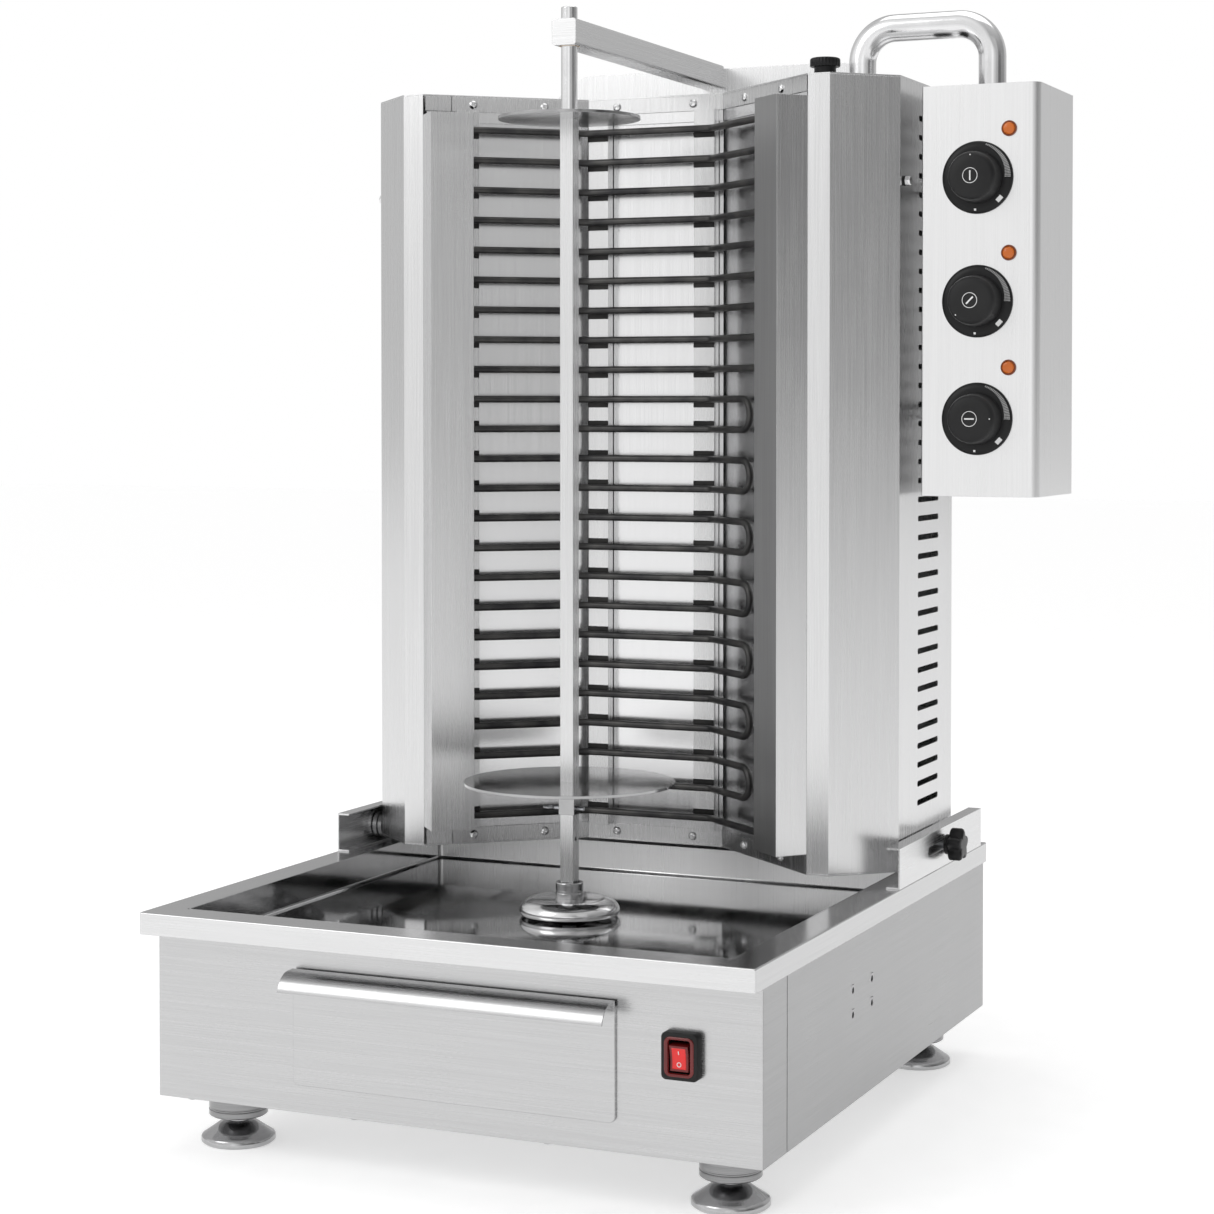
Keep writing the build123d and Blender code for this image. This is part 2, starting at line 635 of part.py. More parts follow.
# ---------------------------------------------------------------- drawer
WALL = 1.2
BIN_HALF = DRAWER_HALF - 10
BIN_Z0, BIN_Z1 = DRAWER_Z0 + 8, 138.0
with BuildPart() as drawer_front:
    with BuildSketch(front(-GAP)):
        with Locations((DRAWER_X, (DRAWER_Z0 + DRAWER_Z1) / 2)):
            RectangleRounded(2 * DRAWER_HALF, DRAWER_Z1 - DRAWER_Z0, 5)
    extrude(amount=-GRIP_FACE - GAP)
    fillet(drawer_front.faces().sort_by(Axis.Y)[0].edges(), radius=0.8)
save(drawer_front.part, "drawer_front")

with BuildPart() as drawer_box:
    with BuildSketch(plan(BIN_Z0)):
        with Locations((DRAWER_X, (DRAWER_DEPTH - GAP) / 2)):
            Rectangle(2 * BIN_HALF, DRAWER_DEPTH + GAP)
    extrude(amount=BIN_Z1 - BIN_Z0)
    offset(amount=-WALL, openings=drawer_box.faces().sort_by(Axis.Z)[-1])
save(drawer_box.part, "drawer_box")

GRIP_Z0, GRIP_Z1 = 147.0, 161.5
with BuildPart() as drawer_handle:
    with BuildSketch(side(DRAWER_X - DRAWER_HALF)):
        with BuildLine():
            Polyline((GRIP_FACE, GRIP_Z1 - 9), (GRIP_FACE, GRIP_Z1), (GRIP_FACE - 5, GRIP_Z1 - 0.2))
            ThreePointArc(
                (GRIP_FACE - 5, GRIP_Z1 - 0.2), (GRIP_FACE - 18, GRIP_Z1 - 4.2),
                (GRIP_FACE - GRIP_OUT, GRIP_Z0)
            )
            Line((GRIP_FACE - GRIP_OUT, GRIP_Z0), (GRIP_FACE - GRIP_OUT + WALL, GRIP_Z0))
            ThreePointArc(
                (GRIP_FACE - GRIP_OUT + WALL, GRIP_Z0), (GRIP_FACE - 17.2, GRIP_Z1 - 5.1),
                (GRIP_FACE - 5, GRIP_Z1 - WALL - 0.2)
            )
            Polyline(
                (GRIP_FACE - 5, GRIP_Z1 - WALL - 0.2), (GRIP_FACE - WALL, GRIP_Z1 - WALL),
                (GRIP_FACE - WALL, GRIP_Z1 - 9), (GRIP_FACE, GRIP_Z1 - 9),
            )
        make_face()
    extrude(amount=2 * DRAWER_HALF)
save(drawer_handle.part, "drawer_handle")

with BuildPart() as drawer_runners:
    for hand in (-1, 1):
        section = (
            (BIN_HALF + 10, BODY_Z0 + SHEET), (BIN_HALF + 1, BODY_Z0 + SHEET),
            (BIN_HALF + 1, BIN_Z0 - GAP - 1.5), (BIN_HALF - 12, BIN_Z0 - GAP - 1.5),
            (BIN_HALF - 12, BIN_Z0 - GAP), (BIN_HALF + 2.5, BIN_Z0 - GAP),
            (BIN_HALF + 2.5, BODY_Z0 + SHEET + 1.5), (BIN_HALF + 10, BODY_Z0 + SHEET + 1.5),
        )
        with BuildSketch(front(SHEET)):
            with BuildLine():
                Polyline(*[(DRAWER_X + hand * x, z) for x, z in section], close=True)
            make_face()
        extrude(amount=-(DRAWER_DEPTH + 4))
save(drawer_runners.part, "drawer_runners")

# ---------------------------------------------------------------- rocker switch
BOOT_OUT = 9.0                 # how far the splash-proof surround stands out
with BuildPart() as switch_housing:
    with BuildSketch(front(0)):
        with Locations((SWITCH_X, SWITCH_Z)):
            RectangleRounded(30, 36, 4)
    extrude(amount=BOOT_OUT)
    fillet(switch_housing.faces().sort_by(Axis.Y)[0].edges(), radius=1.6)
    with BuildSketch(front(0)):
        with Locations((SWITCH_X, SWITCH_Z)):
            Rectangle(23.5, 30.5)
    extrude(amount=-22)
    with BuildSketch(front(-BOOT_OUT)):
        with Locations((SWITCH_X, SWITCH_Z)):
            Rectangle(16, 24)
    extrude(amount=-BOOT_OUT - 13, mode=Mode.SUBTRACT)
save(switch_housing.part, "switch_housing")

ROCKER_TILT = 7.0
ROCKER_Y = 0.0                 # pivot, level with the front panel
with BuildPart() as switch_rocker:
    with BuildSketch(
        Plane(
            origin=(MID_X + SWITCH_X - 7.6, MID_Y + ROCKER_Y, SWITCH_Z),
            x_dir=(0, cos(radians(ROCKER_TILT)), sin(radians(ROCKER_TILT))),
            z_dir=(1, 0, 0),
        )
    ):
        with BuildLine():
            Polyline((-10.2, 10.2), (3.4, 6), (3.4, -6), (-10.2, -10.2))
            ThreePointArc((-10.2, -10.2), (-8.6, 0), (-10.2, 10.2))
        make_face()
    extrude(amount=15.2)
save(switch_rocker.part, "switch_rocker")

# ---------------------------------------------------------------- small base parts
with BuildPart() as panel_screws:
    for hand in (-1, 1):
        with BuildSketch(side(hand * HALF_W)):
            with Locations(*BEAM_SCREWS):
                Circle(4.2)
        extrude(amount=hand * 2.4)
        fillet(panel_screws.faces().filter_by(Axis.X).sort_by(Axis.X)[-4:].edges()
               if hand > 0 else panel_screws.faces().filter_by(Axis.X).sort_by(Axis.X)[:4].edges(),
               radius=1.6)
        with BuildSketch(side(hand * HALF_W)):
            with Locations(*BEAM_SCREWS):
                Circle(2.1)
        extrude(amount=-hand * 9)
    with BuildSketch(plan(BODY_Z0)):
        with Locations(*[(x, y) for x in (-237, -85, 85, 237) for y in (7, BODY_D - 7)]):
            Circle(4.2)
    extrude(amount=-3.6)
    chamfer(panel_screws.edges().group_by(Axis.Z)[0], length=1.0)
save(panel_screws.part, "panel_screws")

with BuildPart() as cable_gland:
    with BuildSketch(front(BODY_D)):
        with Locations((150, 100)):
            RegularPolygon(12, 6)
    extrude(amount=-5)
    with BuildSketch(front(BODY_D + 5)):
        with Locations((150, 100)):
            Circle(10)
    extrude(amount=5 - GLAND_OUT)
    with BuildSketch(front(BODY_D)):
        with Locations((150, 100)):
            Circle(8)
    extrude(amount=8)
    with BuildSketch(front(BODY_D + GLAND_OUT)):
        with Locations((150, 100)):
            Circle(4.5)
    extrude(amount=GLAND_OUT + 8, mode=Mode.SUBTRACT)
save(cable_gland.part, "cable_gland")

# ---------------------------------------------------------------- heater tower casing
OUTLINE = mirrored((RECESS, TIP_IN, TIP_OUT, CHEEK, TOWER_BACK))
SHELL_OUT = mirrored((TIP_IN, TIP_OUT, CHEEK, TOWER_BACK))
SLOTS = 37
SLOT_PITCH = 16.8
SLOT_Z = 563.0                 # middle of the column of vent slots
SPACER_YS, SPACER_ZS = (450.0, 480.0), (807.0, 607.0)   # standoffs behind the control box
LOCK_SPOT = (193.0, 341.0)
PIPE_R, PIPE_T = 12.0, 1.5
PIPE_Y = 425.0
PIPE_X = (199.0, 318.0)
with BuildPart() as tower_casing:
    with BuildSketch(plan(TOWER_Z0 + SHEET)):
        with BuildLine():
            Polyline(*SHELL_OUT, close=True)
        make_face()
        offset(amount=-SHEET, mode=Mode.SUBTRACT)
        with Locations((0, TIP_IN[1] + SHEET / 2)):
            Rectangle(2 * TIP_IN[0], 2 * SHEET, mode=Mode.SUBTRACT)
    extrude(amount=TOWER_Z1 - TOWER_Z0 - 2 * SHEET)
    with BuildSketch(side(-CHEEK[0])):
        with Locations((446, SLOT_Z)):
            with GridLocations(1, SLOT_PITCH, 1, SLOTS):
                SlotOverall(62, 5)
    extrude(amount=2 * CHEEK[0], mode=Mode.SUBTRACT)
    with BuildSketch(side(0)):
        with Locations((CLAMP_Y, CLAMP_Z)):
            Circle(4.1)
    extrude(amount=CHEEK[0], mode=Mode.SUBTRACT)
save(tower_casing.part, "tower_casing")

with BuildPart() as tower_ends:
    for z in (TOWER_Z0, TOWER_Z1 - SHEET):
        with BuildSketch(plan(z)):
            with BuildLine():
                Polyline(*OUTLINE, close=True)
            make_face()
        extrude(amount=SHEET)
    with BuildSketch(plan(TOWER_Z0)):
        with Locations(*[(x, 470) for x in range(-180, 181, 40)]):
            SlotOverall(60, 6, rotation=90)
    extrude(amount=SHEET, mode=Mode.SUBTRACT)
    with BuildSketch(plan(TOWER_Z1)):
        with Locations(LOCK_SPOT):
            Circle(4.1)
        with Locations((PIPE_X[0], PIPE_Y)):
            Circle(PIPE_R - PIPE_T)
    extrude(amount=-SHEET, mode=Mode.SUBTRACT)
save(tower_ends.part, "tower_ends")

# ---------------------------------------------------------------- reflectors, strips and shields
STRIP_ZS = (TOWER_Z0 + SHEET, TOWER_Z1 - SHEET - STRIP_H)
REFLECT_Z0 = STRIP_ZS[0] + STRIP_H
REFLECT_Z1 = STRIP_ZS[1]
with BuildPart() as reflectors:
    for start, end, trim_start, trim_end in PANELS:
        with BuildSketch(plan(REFLECT_Z0)):
            with BuildLine():
                Polyline(*strip(start, end, -2.5, 1.0, 1.6 * trim_start, 1.6 * trim_end), close=True)
            make_face()
        extrude(amount=REFLECT_Z1 - REFLECT_Z0)
        for z in (REFLECT_Z0, REFLECT_Z1 - 10):
            with BuildSketch(plan(z)):
                with BuildLine():
                    Polyline(*strip(start, end, -1.2, 1.3, 1.6 * trim_start, 1.6 * trim_end), close=True)
                make_face()
            extrude(amount=10)
save(reflectors.part, "reflectors")

SCREW_SHARES = (0.30, 0.73)
SIDE_BOLT_Z = 807.0
PANEL_LENGTH = hypot(RECESS[0] - TIP_IN[0], RECESS[1] - TIP_IN[1])
SEAM = 27.0                    # from the tip to the seam in each side strip
with BuildPart() as frame_strips:
    for z in STRIP_ZS:
        for start, end, trim_start, trim_end in (
            (TIP_IN_L, RECESS_L, TRIM, PANEL_LENGTH - SEAM + GAP),
            (TIP_IN_L, RECESS_L, SEAM + GAP, 0.0),
            PANELS[1],
            (RECESS, TIP_IN, 0.0, SEAM + GAP),
            (RECESS, TIP_IN, PANEL_LENGTH - SEAM + GAP, TRIM),
        ):
            with BuildSketch(plan(z)):
                with BuildLine():
                    Polyline(*strip(start, end, 0, SHEET, trim_start, trim_end), close=True)
                make_face()
            extrude(amount=STRIP_H)
save(frame_strips.part, "frame_strips")

with BuildPart() as frame_screws:
    for z in STRIP_ZS:
        for hand in (-1, 1):
            for share in SCREW_SHARES:
                foot_point = along(TIP_IN, RECESS, share * PANEL_LENGTH, 0)
                spot = (MID_X + hand * foot_point[0], MID_Y + foot_point[1], z + STRIP_H / 2)
                normal = (-hand * (RECESS[1] - TIP_IN[1]), -(TIP_IN[0] - RECESS[0]), 0)
                with BuildSketch(Plane(origin=spot, z_dir=normal)):
                    Circle(4.0)
                extrude(amount=2.4, taper=22)
            with BuildSketch(front(RECESS[1])):
                with Locations((hand * 38, z + STRIP_H / 2)):
                    Circle(4.0)
            extrude(amount=2.4, taper=22)
    for hand in (-1, 1):
        with BuildSketch(side(hand * CHEEK[0])):
            with Locations((CHEEK[1] + 11, SIDE_BOLT_Z)):
                RegularPolygon(5.0, 6)
        extrude(amount=hand * 6.5)
save(frame_screws.part, "frame_screws")

WING_LEG, WING_FACE = 30.0, 40.0
WING_Z0, WING_Z1 = 225.5, 878.0
with BuildPart() as wing_shields:
    for hand in (-1, 1):
        corner = along(TIP_IN, RECESS, 0, -WING_LEG)
        edge = along(TIP_IN, RECESS, WING_FACE, -WING_LEG)
        inner_edge = along(TIP_IN, RECESS, WING_FACE, -WING_LEG + SHEET)
        inner_corner = along(TIP_IN, RECESS, SHEET, -WING_LEG + SHEET)
        root = along(TIP_IN, RECESS, SHEET, 0)
        points = (TIP_IN, corner, edge, inner_edge, inner_corner, root)
        with BuildSketch(plan(WING_Z0)):
            with BuildLine():
                Polyline(*[(hand * x, y) for x, y in points], close=True)
            make_face()
        extrude(amount=WING_Z1 - WING_Z0)
save(wing_shields.part, "wing_shields")

# ---------------------------------------------------------------- heating elements
ROD_BEND = 14.0
LONG_REACH = PANEL_LENGTH - 9.0   # from the right recess corner, behind the wing shield
SHORT_REACH = 80.0                # hairpins that turn back beside the wing shield


def rod_path(reach, z):
    """Points of one run of rod at height z, in the frame, ending at a reach along the right panel."""
    points = (
        along(TIP_IN_L, RECESS_L, 9.0, ROD_OFF),
        along(TIP_IN_L, RECESS_L, PANEL_LENGTH - ROD_OFF * 0.36, ROD_OFF),
        along(RECESS, TIP_IN, ROD_OFF * 0.36, ROD_OFF),
        along(RECESS, TIP_IN, reach, ROD_OFF),
    )
    return [(MID_X + x, MID_Y + y, z) for x, y in points]


def rod_z(index):
    """Height of a rod's axis, counted from the top."""
    return ROD_TOP_Z - ROD_PITCH * index


def heater(first, last, single, reach):
    """Rods first to last; single rods run once across, the others are hairpins joined on the right."""
    with BuildPart() as element:
        index = first
        while index <= last:
            upper = rod_z(index)
            if index in single:
                points = rod_path(LONG_REACH, upper)
                radii = [ROD_BEND, ROD_BEND]
                index += 1
            else:
                points = rod_path(reach, upper) + rod_path(reach, rod_z(index + 1))[::-1]
                turn = ROD_PITCH / 2 - 0.01
                radii = [ROD_BEND, ROD_BEND, turn, turn, ROD_BEND, ROD_BEND]
                index += 2
            aim = (points[1][0] - points[0][0], points[1][1] - points[0][1], 0)
            with BuildLine() as path:
                FilletPolyline(*points, radius=radii)
            with BuildSketch(Plane(origin=points[0], z_dir=aim)):
                Circle(ROD_R)
            sweep(path=path.line)
    return element.part


save(heater(0, 8, (0,), LONG_REACH), "heater_top")
save(heater(9, 16, (), SHORT_REACH), "heater_middle")
save(heater(17, 23, (23,), SHORT_REACH), "heater_bottom")

HOLDER_HALF = 10.0             # half width of a holder channel
HOLDER_OFF = 9.4               # face of the channel in front of the frame strips
CLIP_T = 1.2
CLIP_NEAR, CLIP_FAR = 2.0, 7.5  # how far a clip reaches past its rod's axis, on its short and long side
UPPER_RODS = 10                # their clips hook under the rod; the others hook over it
HOLDERS = (                    # panel start, panel end, distance of the channel's middle
    (TIP_IN_L, RECESS_L, 40.0),
    (RECESS_L, RECESS, 14.2),
    (RECESS_L, RECESS, 2 * RECESS[0] - 14.2),
    (RECESS, TIP_IN, PANEL_LENGTH - 40.0),
)
with BuildPart() as element_holders:
    for start, end, middle in HOLDERS:
        near, far = middle - HOLDER_HALF, middle + HOLDER_HALF
        section = (
            (near, -1.2), (near, HOLDER_OFF), (far, HOLDER_OFF), (far, -1.2), (far - THIN, -1.2),
            (far - THIN, HOLDER_OFF - THIN), (near + THIN, HOLDER_OFF - THIN), (near + THIN, -1.2),
        )
        with BuildSketch(plan(REFLECT_Z0)):
            with BuildLine():
                Polyline(*[along(start, end, distance, off) for distance, off in section], close=True)
            make_face()
        extrude(amount=REFLECT_Z1 - REFLECT_Z0)
        for index in range(RODS):
            low = CLIP_FAR if index < UPPER_RODS else CLIP_NEAR
            outer = HOLDER_OFF + CLIP_T
            plate = ((near, HOLDER_OFF), (near, outer), (far, outer), (far, HOLDER_OFF))
            with BuildSketch(plan(rod_z(index) - low)):
                with BuildLine():
                    Polyline(*[along(start, end, distance, off) for distance, off in plate], close=True)
                make_face()
            extrude(amount=CLIP_NEAR + CLIP_FAR)
save(element_holders.part, "element_holders")

# ---------------------------------------------------------------- guides, clamp and lock knobs
STUD_R = 13.2
STUD_Z = RIM_Z1 + SHEET + GAP + STUD_R
with BuildPart() as guide_studs:
    for hand in (-1, 1):
        for y in (CHEEK[1] + 14, TOWER_BACK[1] - 16):
            with BuildSketch(side(hand * CHEEK[0])):
                with Locations((y, STUD_Z)):
                    Circle(5)
            extrude(amount=hand * (RAIL_WEB - CHEEK[0] - 0.6))
            for x in (CHEEK[0] + 1.8, CHEEK[0] + 7.2):
                with BuildSketch(side(hand * x)):
                    with Locations((y, STUD_Z)):
                        Circle(STUD_R)
                extrude(amount=hand * 4.0)
save(guide_studs.part, "guide_studs")

KNOB_X0 = RAIL_X + 1.0
with BuildPart() as clamp_knob:
    with BuildSketch(side(CHEEK[0] - 9)):
        with Locations((CLAMP_Y, CLAMP_Z)):
            Circle(4.0)
    extrude(amount=KNOB_X0 - CHEEK[0] + 9)
    with BuildSketch(side(KNOB_X0)):
        with Locations((CLAMP_Y, CLAMP_Z)):
            Circle(9)
    extrude(amount=4)
    with BuildSketch(side(KNOB_X0 + 4)):
        with Locations((CLAMP_Y, CLAMP_Z)):
            Circle(12)
            with PolarLocations(11, 5, start_angle=90):
                Circle(5.0)
    extrude(amount=13)
    fillet(clamp_knob.faces().sort_by(Axis.X)[-1].edges(), radius=1.2)
save(clamp_knob.part, "clamp_knob")

with BuildPart() as lock_knob:
    with BuildSketch(plan(TOWER_Z1 - 12)):
        with Locations(LOCK_SPOT):
            Circle(4.0)
    extrude(amount=12)
    with BuildSketch(plan(TOWER_Z1 + GAP)):
        with Locations(LOCK_SPOT):
            Circle(9.8)
    extrude(amount=7.2)
    with BuildSketch(plan(TOWER_Z1 + 7.5)):
        with Locations(LOCK_SPOT):
            Circle(13.3)
            with PolarLocations(13.3, 28):
                Circle(0.7, mode=Mode.SUBTRACT)
    extrude(amount=8)
    with BuildSketch(plan(TOWER_Z1)):
        with Locations(LOCK_SPOT):
            Circle(3.9)
    extrude(amount=1)
save(lock_knob.part, "lock_knob")

# ---------------------------------------------------------------- conduit from the tower to the control box
PIPE_Z = 947.0
PIPE_BEND = 30.0
with BuildPart() as conduit_pipe:
    with BuildLine() as pipe_path:
        FilletPolyline(
            (MID_X + PIPE_X[0], MID_Y + PIPE_Y, TOWER_Z1),
            (MID_X + PIPE_X[0], MID_Y + PIPE_Y, PIPE_Z),
            (MID_X + PIPE_X[1], MID_Y + PIPE_Y, PIPE_Z),
            (MID_X + PIPE_X[1], MID_Y + PIPE_Y, BOX_Z1),
            radius=PIPE_BEND,
        )
    with BuildSketch(plan(TOWER_Z1)):
        with Locations((PIPE_X[0], PIPE_Y)):
            Circle(PIPE_R)
            Circle(PIPE_R - PIPE_T, mode=Mode.SUBTRACT)
    sweep(path=pipe_path.line)
    with BuildSketch(plan(TOWER_Z1)):
        with Locations((PIPE_X[0], PIPE_Y)):
            Circle(18)
            Circle(PIPE_R - PIPE_T, mode=Mode.SUBTRACT)
    extrude(amount=2)
    with BuildSketch(plan(BOX_Z1)):
        with Locations((PIPE_X[1], PIPE_Y)):
            RectangleRounded(48, 30, 5)
            Circle(PIPE_R - PIPE_T, mode=Mode.SUBTRACT)
    extrude(amount=2)
    with BuildSketch(plan(BOX_Z1 + 2)):
        with Locations((PIPE_X[1] - 18.5, PIPE_Y), (PIPE_X[1] + 18.5, PIPE_Y)):
            Circle(3.4)
    extrude(amount=1.8, taper=20)
save(conduit_pipe.part, "conduit_pipe")

# ---------------------------------------------------------------- control box
BOX_FOLD = (1.6, 9.0)          # outer radius of the left and right front folds
with BuildPart() as control_box:
    with BuildSketch(plan(BOX_Z0)):
        with Locations(((BOX_X0 + BOX_X1) / 2, (BOX_Y0 + BOX_Y1) / 2)):
            Rectangle(BOX_X1 - BOX_X0, BOX_Y1 - BOX_Y0)
    extrude(amount=BOX_Z1 - BOX_Z0)
    front_edges = control_box.edges().filter_by(Axis.Z).group_by(Axis.Y)[0].sort_by(Axis.X)
    for edge, radius in zip(front_edges, BOX_FOLD):
        fillet(edge, radius=radius)
    offset(amount=-THIN, openings=control_box.faces().sort_by(Axis.Y)[-1])
    with BuildSketch(front(BOX_Y0)):
        with Locations(*[(DIAL_X, z) for z in DIAL_Z]):
            Circle(5)
        with Locations(*LAMP_SPOTS):
            Circle(5)
    extrude(amount=-THIN, mode=Mode.SUBTRACT)
    with BuildSketch(plan(BOX_Z1)):
        with Locations((PIPE_X[1], PIPE_Y)):
            Circle(PIPE_R - PIPE_T)
    extrude(amount=-THIN, mode=Mode.SUBTRACT)
    with BuildSketch(side(CHEEK[0])):
        with Locations(*[(y, z) for y in SPACER_YS for z in SPACER_ZS]):
            Circle(7)
    extrude(amount=BOX_X0 - CHEEK[0])
save(control_box.part, "control_box")

with BuildPart() as control_box_back:
    with BuildSketch(plan(BOX_Z0 + THIN)):
        with Locations(((BOX_X0 + BOX_X1) / 2, BOX_Y1 - THIN / 2)):
            Rectangle(BOX_X1 - BOX_X0 - 2 * THIN, THIN)
    extrude(amount=BOX_Z1 - BOX_Z0 - 2 * THIN)
save(control_box_back.part, "control_box_back")

SKIRT_R, SKIRT_T = 31.2, 3.4
CAP_R, CAP_DEPTH = 22.5, 21.0
DIAL_SHAFT_R = 3.0
with BuildPart() as dial_skirts:
    with BuildSketch(front(BOX_Y0)):
        with Locations(*[(DIAL_X, z) for z in DIAL_Z]):
            Circle(SKIRT_R)
            Circle(4.5, mode=Mode.SUBTRACT)
    extrude(amount=SKIRT_T, taper=12)
save(dial_skirts.part, "dial_skirts")

THERMO_Y = BOX_Y0 + THIN
with BuildPart() as thermostats:
    with BuildSketch(front(THERMO_Y)):
        with Locations(*[(DIAL_X, z) for z in DIAL_Z]):
            Rectangle(44, 44)
    extrude(amount=-32)
    with BuildSketch(front(THERMO_Y)):
        with Locations(*[(DIAL_X, z) for z in DIAL_Z]):
            Circle(DIAL_SHAFT_R + 0.08)
    extrude(amount=-16, mode=Mode.SUBTRACT)
save(thermostats.part, "thermostats")

for name, z in zip(("top", "middle", "bottom"), DIAL_Z):
    with BuildPart() as dial:
        with BuildSketch(front(BOX_Y0 - SKIRT_T - GAP)):
            with Locations((DIAL_X, z)):
                Circle(CAP_R)
        extrude(amount=CAP_DEPTH, taper=3)
        fillet(dial.faces().sort_by(Axis.Y)[0].edges(), radius=2.2)
        with BuildSketch(front(BOX_Y0 - SKIRT_T - GAP)):
            with Locations((DIAL_X, z)):
                Circle(DIAL_SHAFT_R)
        extrude(amount=-(SKIRT_T + GAP + THIN + 15))
    save(dial.part, f"dial_{name}")

with BuildPart() as indicator_lamps:
    with BuildSketch(front(BOX_Y0 + 12)):
        with Locations(*LAMP_SPOTS):
            Circle(5)
    extrude(amount=12)
    with BuildSketch(front(BOX_Y0)):
        with Locations(*LAMP_SPOTS):
            Circle(6.9)
    extrude(amount=3.0, taper=12)
    fillet(indicator_lamps.faces().sort_by(Axis.Y)[:3].edges(), radius=1.2)
save(indicator_lamps.part, "indicator_lamps")
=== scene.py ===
"""Looks of the vertical rotisserie broiler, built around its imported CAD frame.

Lengths are in metres, in the frame's own axes: +Z up, front towards -Y.
"""

from math import cos, pi, radians, sin

import bmesh
import bpy
import numpy as np
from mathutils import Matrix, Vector


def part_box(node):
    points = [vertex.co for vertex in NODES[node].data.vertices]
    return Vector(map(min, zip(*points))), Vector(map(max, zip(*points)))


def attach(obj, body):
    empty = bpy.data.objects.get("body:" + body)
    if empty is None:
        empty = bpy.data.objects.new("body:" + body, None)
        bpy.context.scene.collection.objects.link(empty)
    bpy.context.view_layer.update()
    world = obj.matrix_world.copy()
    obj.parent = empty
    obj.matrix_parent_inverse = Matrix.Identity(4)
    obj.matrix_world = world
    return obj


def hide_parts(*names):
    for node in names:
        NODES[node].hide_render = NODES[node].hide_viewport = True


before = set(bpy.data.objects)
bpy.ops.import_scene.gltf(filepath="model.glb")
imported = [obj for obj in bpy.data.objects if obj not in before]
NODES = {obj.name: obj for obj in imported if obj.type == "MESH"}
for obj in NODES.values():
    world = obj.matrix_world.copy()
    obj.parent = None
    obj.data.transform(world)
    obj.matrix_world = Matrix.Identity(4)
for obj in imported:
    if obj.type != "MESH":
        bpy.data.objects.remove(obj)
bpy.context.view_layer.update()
MM = 0.001
FRONT, BACK = Vector((0, -1, 0)), Vector((0, 1, 0))
RIGHT, LEFT = Vector((1, 0, 0)), Vector((-1, 0, 0))
UP, DOWN = Vector((0, 0, 1)), Vector((0, 0, -1))


# ---------------------------------------------------------------- reading the frame
def centre(node):
    """Middle of a CAD node's box."""
    low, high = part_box(node)
    return (low + high) / 2


def solids(node):
    """Vertex arrays of the separate solids in one CAD node, from left to right, then front to back."""
    mesh = NODES[node].data
    points = np.array([v.co for v in mesh.vertices], float)
    keys, index = np.unique(np.round(points, 6), axis=0, return_inverse=True)
    index = index.reshape(-1)
    parent = list(range(len(keys)))

    def root(i):
        while parent[i] != i:
            parent[i] = parent[parent[i]]
            i = parent[i]
        return i

    for edge in mesh.edges:
        a, b = root(index[edge.vertices[0]]), root(index[edge.vertices[1]])
        if a != b:
            parent[a] = b
    groups = {}
    for i in range(len(keys)):
        groups.setdefault(root(i), []).append(keys[i])
    found = [np.array(group) for group in groups.values()]
    return sorted(found, key=lambda g: tuple(np.round(g.min(0), 4)))


def solid_box(points):
    """Lowest and highest corners of one solid."""
    return Vector(points.min(0)), Vector(points.max(0))


# ---------------------------------------------------------------- materials
def shader(name, metallic=0.0, **constants):
    """A new material and its Principled shader, with constant values set on the shader's own sockets."""
    material = bpy.data.materials.new(name)
    material.use_nodes = True
    bsdf = material.node_tree.nodes["Principled BSDF"]
    bsdf.inputs["Metallic"].default_value = metallic
    for socket, value in constants.items():
        bsdf.inputs[socket.replace("_", " ")].default_value = value
    return material, bsdf


def stretched_noise(tree, scale, detail=2.0):
    """Noise in object space with its own scale along each axis, in cycles per metre."""
    place = tree.nodes.new("ShaderNodeTexCoord")
    mapping = tree.nodes.new("ShaderNodeMapping")
    mapping.inputs["Scale"].default_value = scale
    noise = tree.nodes.new("ShaderNodeTexNoise")
    noise.inputs["Scale"].default_value = 1.0
    noise.inputs["Detail"].default_value = detail
    tree.links.new(place.outputs["Object"], mapping.inputs["Vector"])
    tree.links.new(mapping.outputs["Vector"], noise.inputs["Vector"])
    return noise.outputs["Fac"]


def spread(tree, value, low, high, start=0.3, end=0.7):
    """Carry a 0 to 1 pattern to the range low to high."""
    node = tree.nodes.new("ShaderNodeMapRange")
    node.inputs["From Min"].default_value = start
    node.inputs["From Max"].default_value = end
    node.inputs["To Min"].default_value = low
    node.inputs["To Max"].default_value = high
    tree.links.new(value, node.inputs["Value"])
    return node.outputs["Result"]


def tint(tree, value, dark, light, start=0.3, end=0.7):
    """Colour that runs from dark to light with the pattern."""
    ramp = tree.nodes.new("ShaderNodeValToRGB")
    ramp.color_ramp.elements[0].position = start
    ramp.color_ramp.elements[0].color = (*dark, 1)
    ramp.color_ramp.elements[1].position = end
    ramp.color_ramp.elements[1].color = (*light, 1)
    tree.links.new(value, ramp.inputs["Fac"])
    return ramp.outputs["Color"]


def total(tree, first, second, share):
    """first + share * second, for mixing two patterns."""
    node = tree.nodes.new("ShaderNodeMath")
    node.operation = "MULTIPLY_ADD"
    node.inputs[1].default_value = share
    tree.links.new(second, node.inputs[0])
    tree.links.new(first, node.inputs[2])
    return node.outputs["Value"]


def rounded_edges(tree, radius):
    """Normal that rounds sharp sheet edges over the radius."""
    bevel = tree.nodes.new("ShaderNodeBevel")
    bevel.samples = 4
    bevel.inputs["Radius"].default_value = radius
    return bevel.outputs["Normal"]


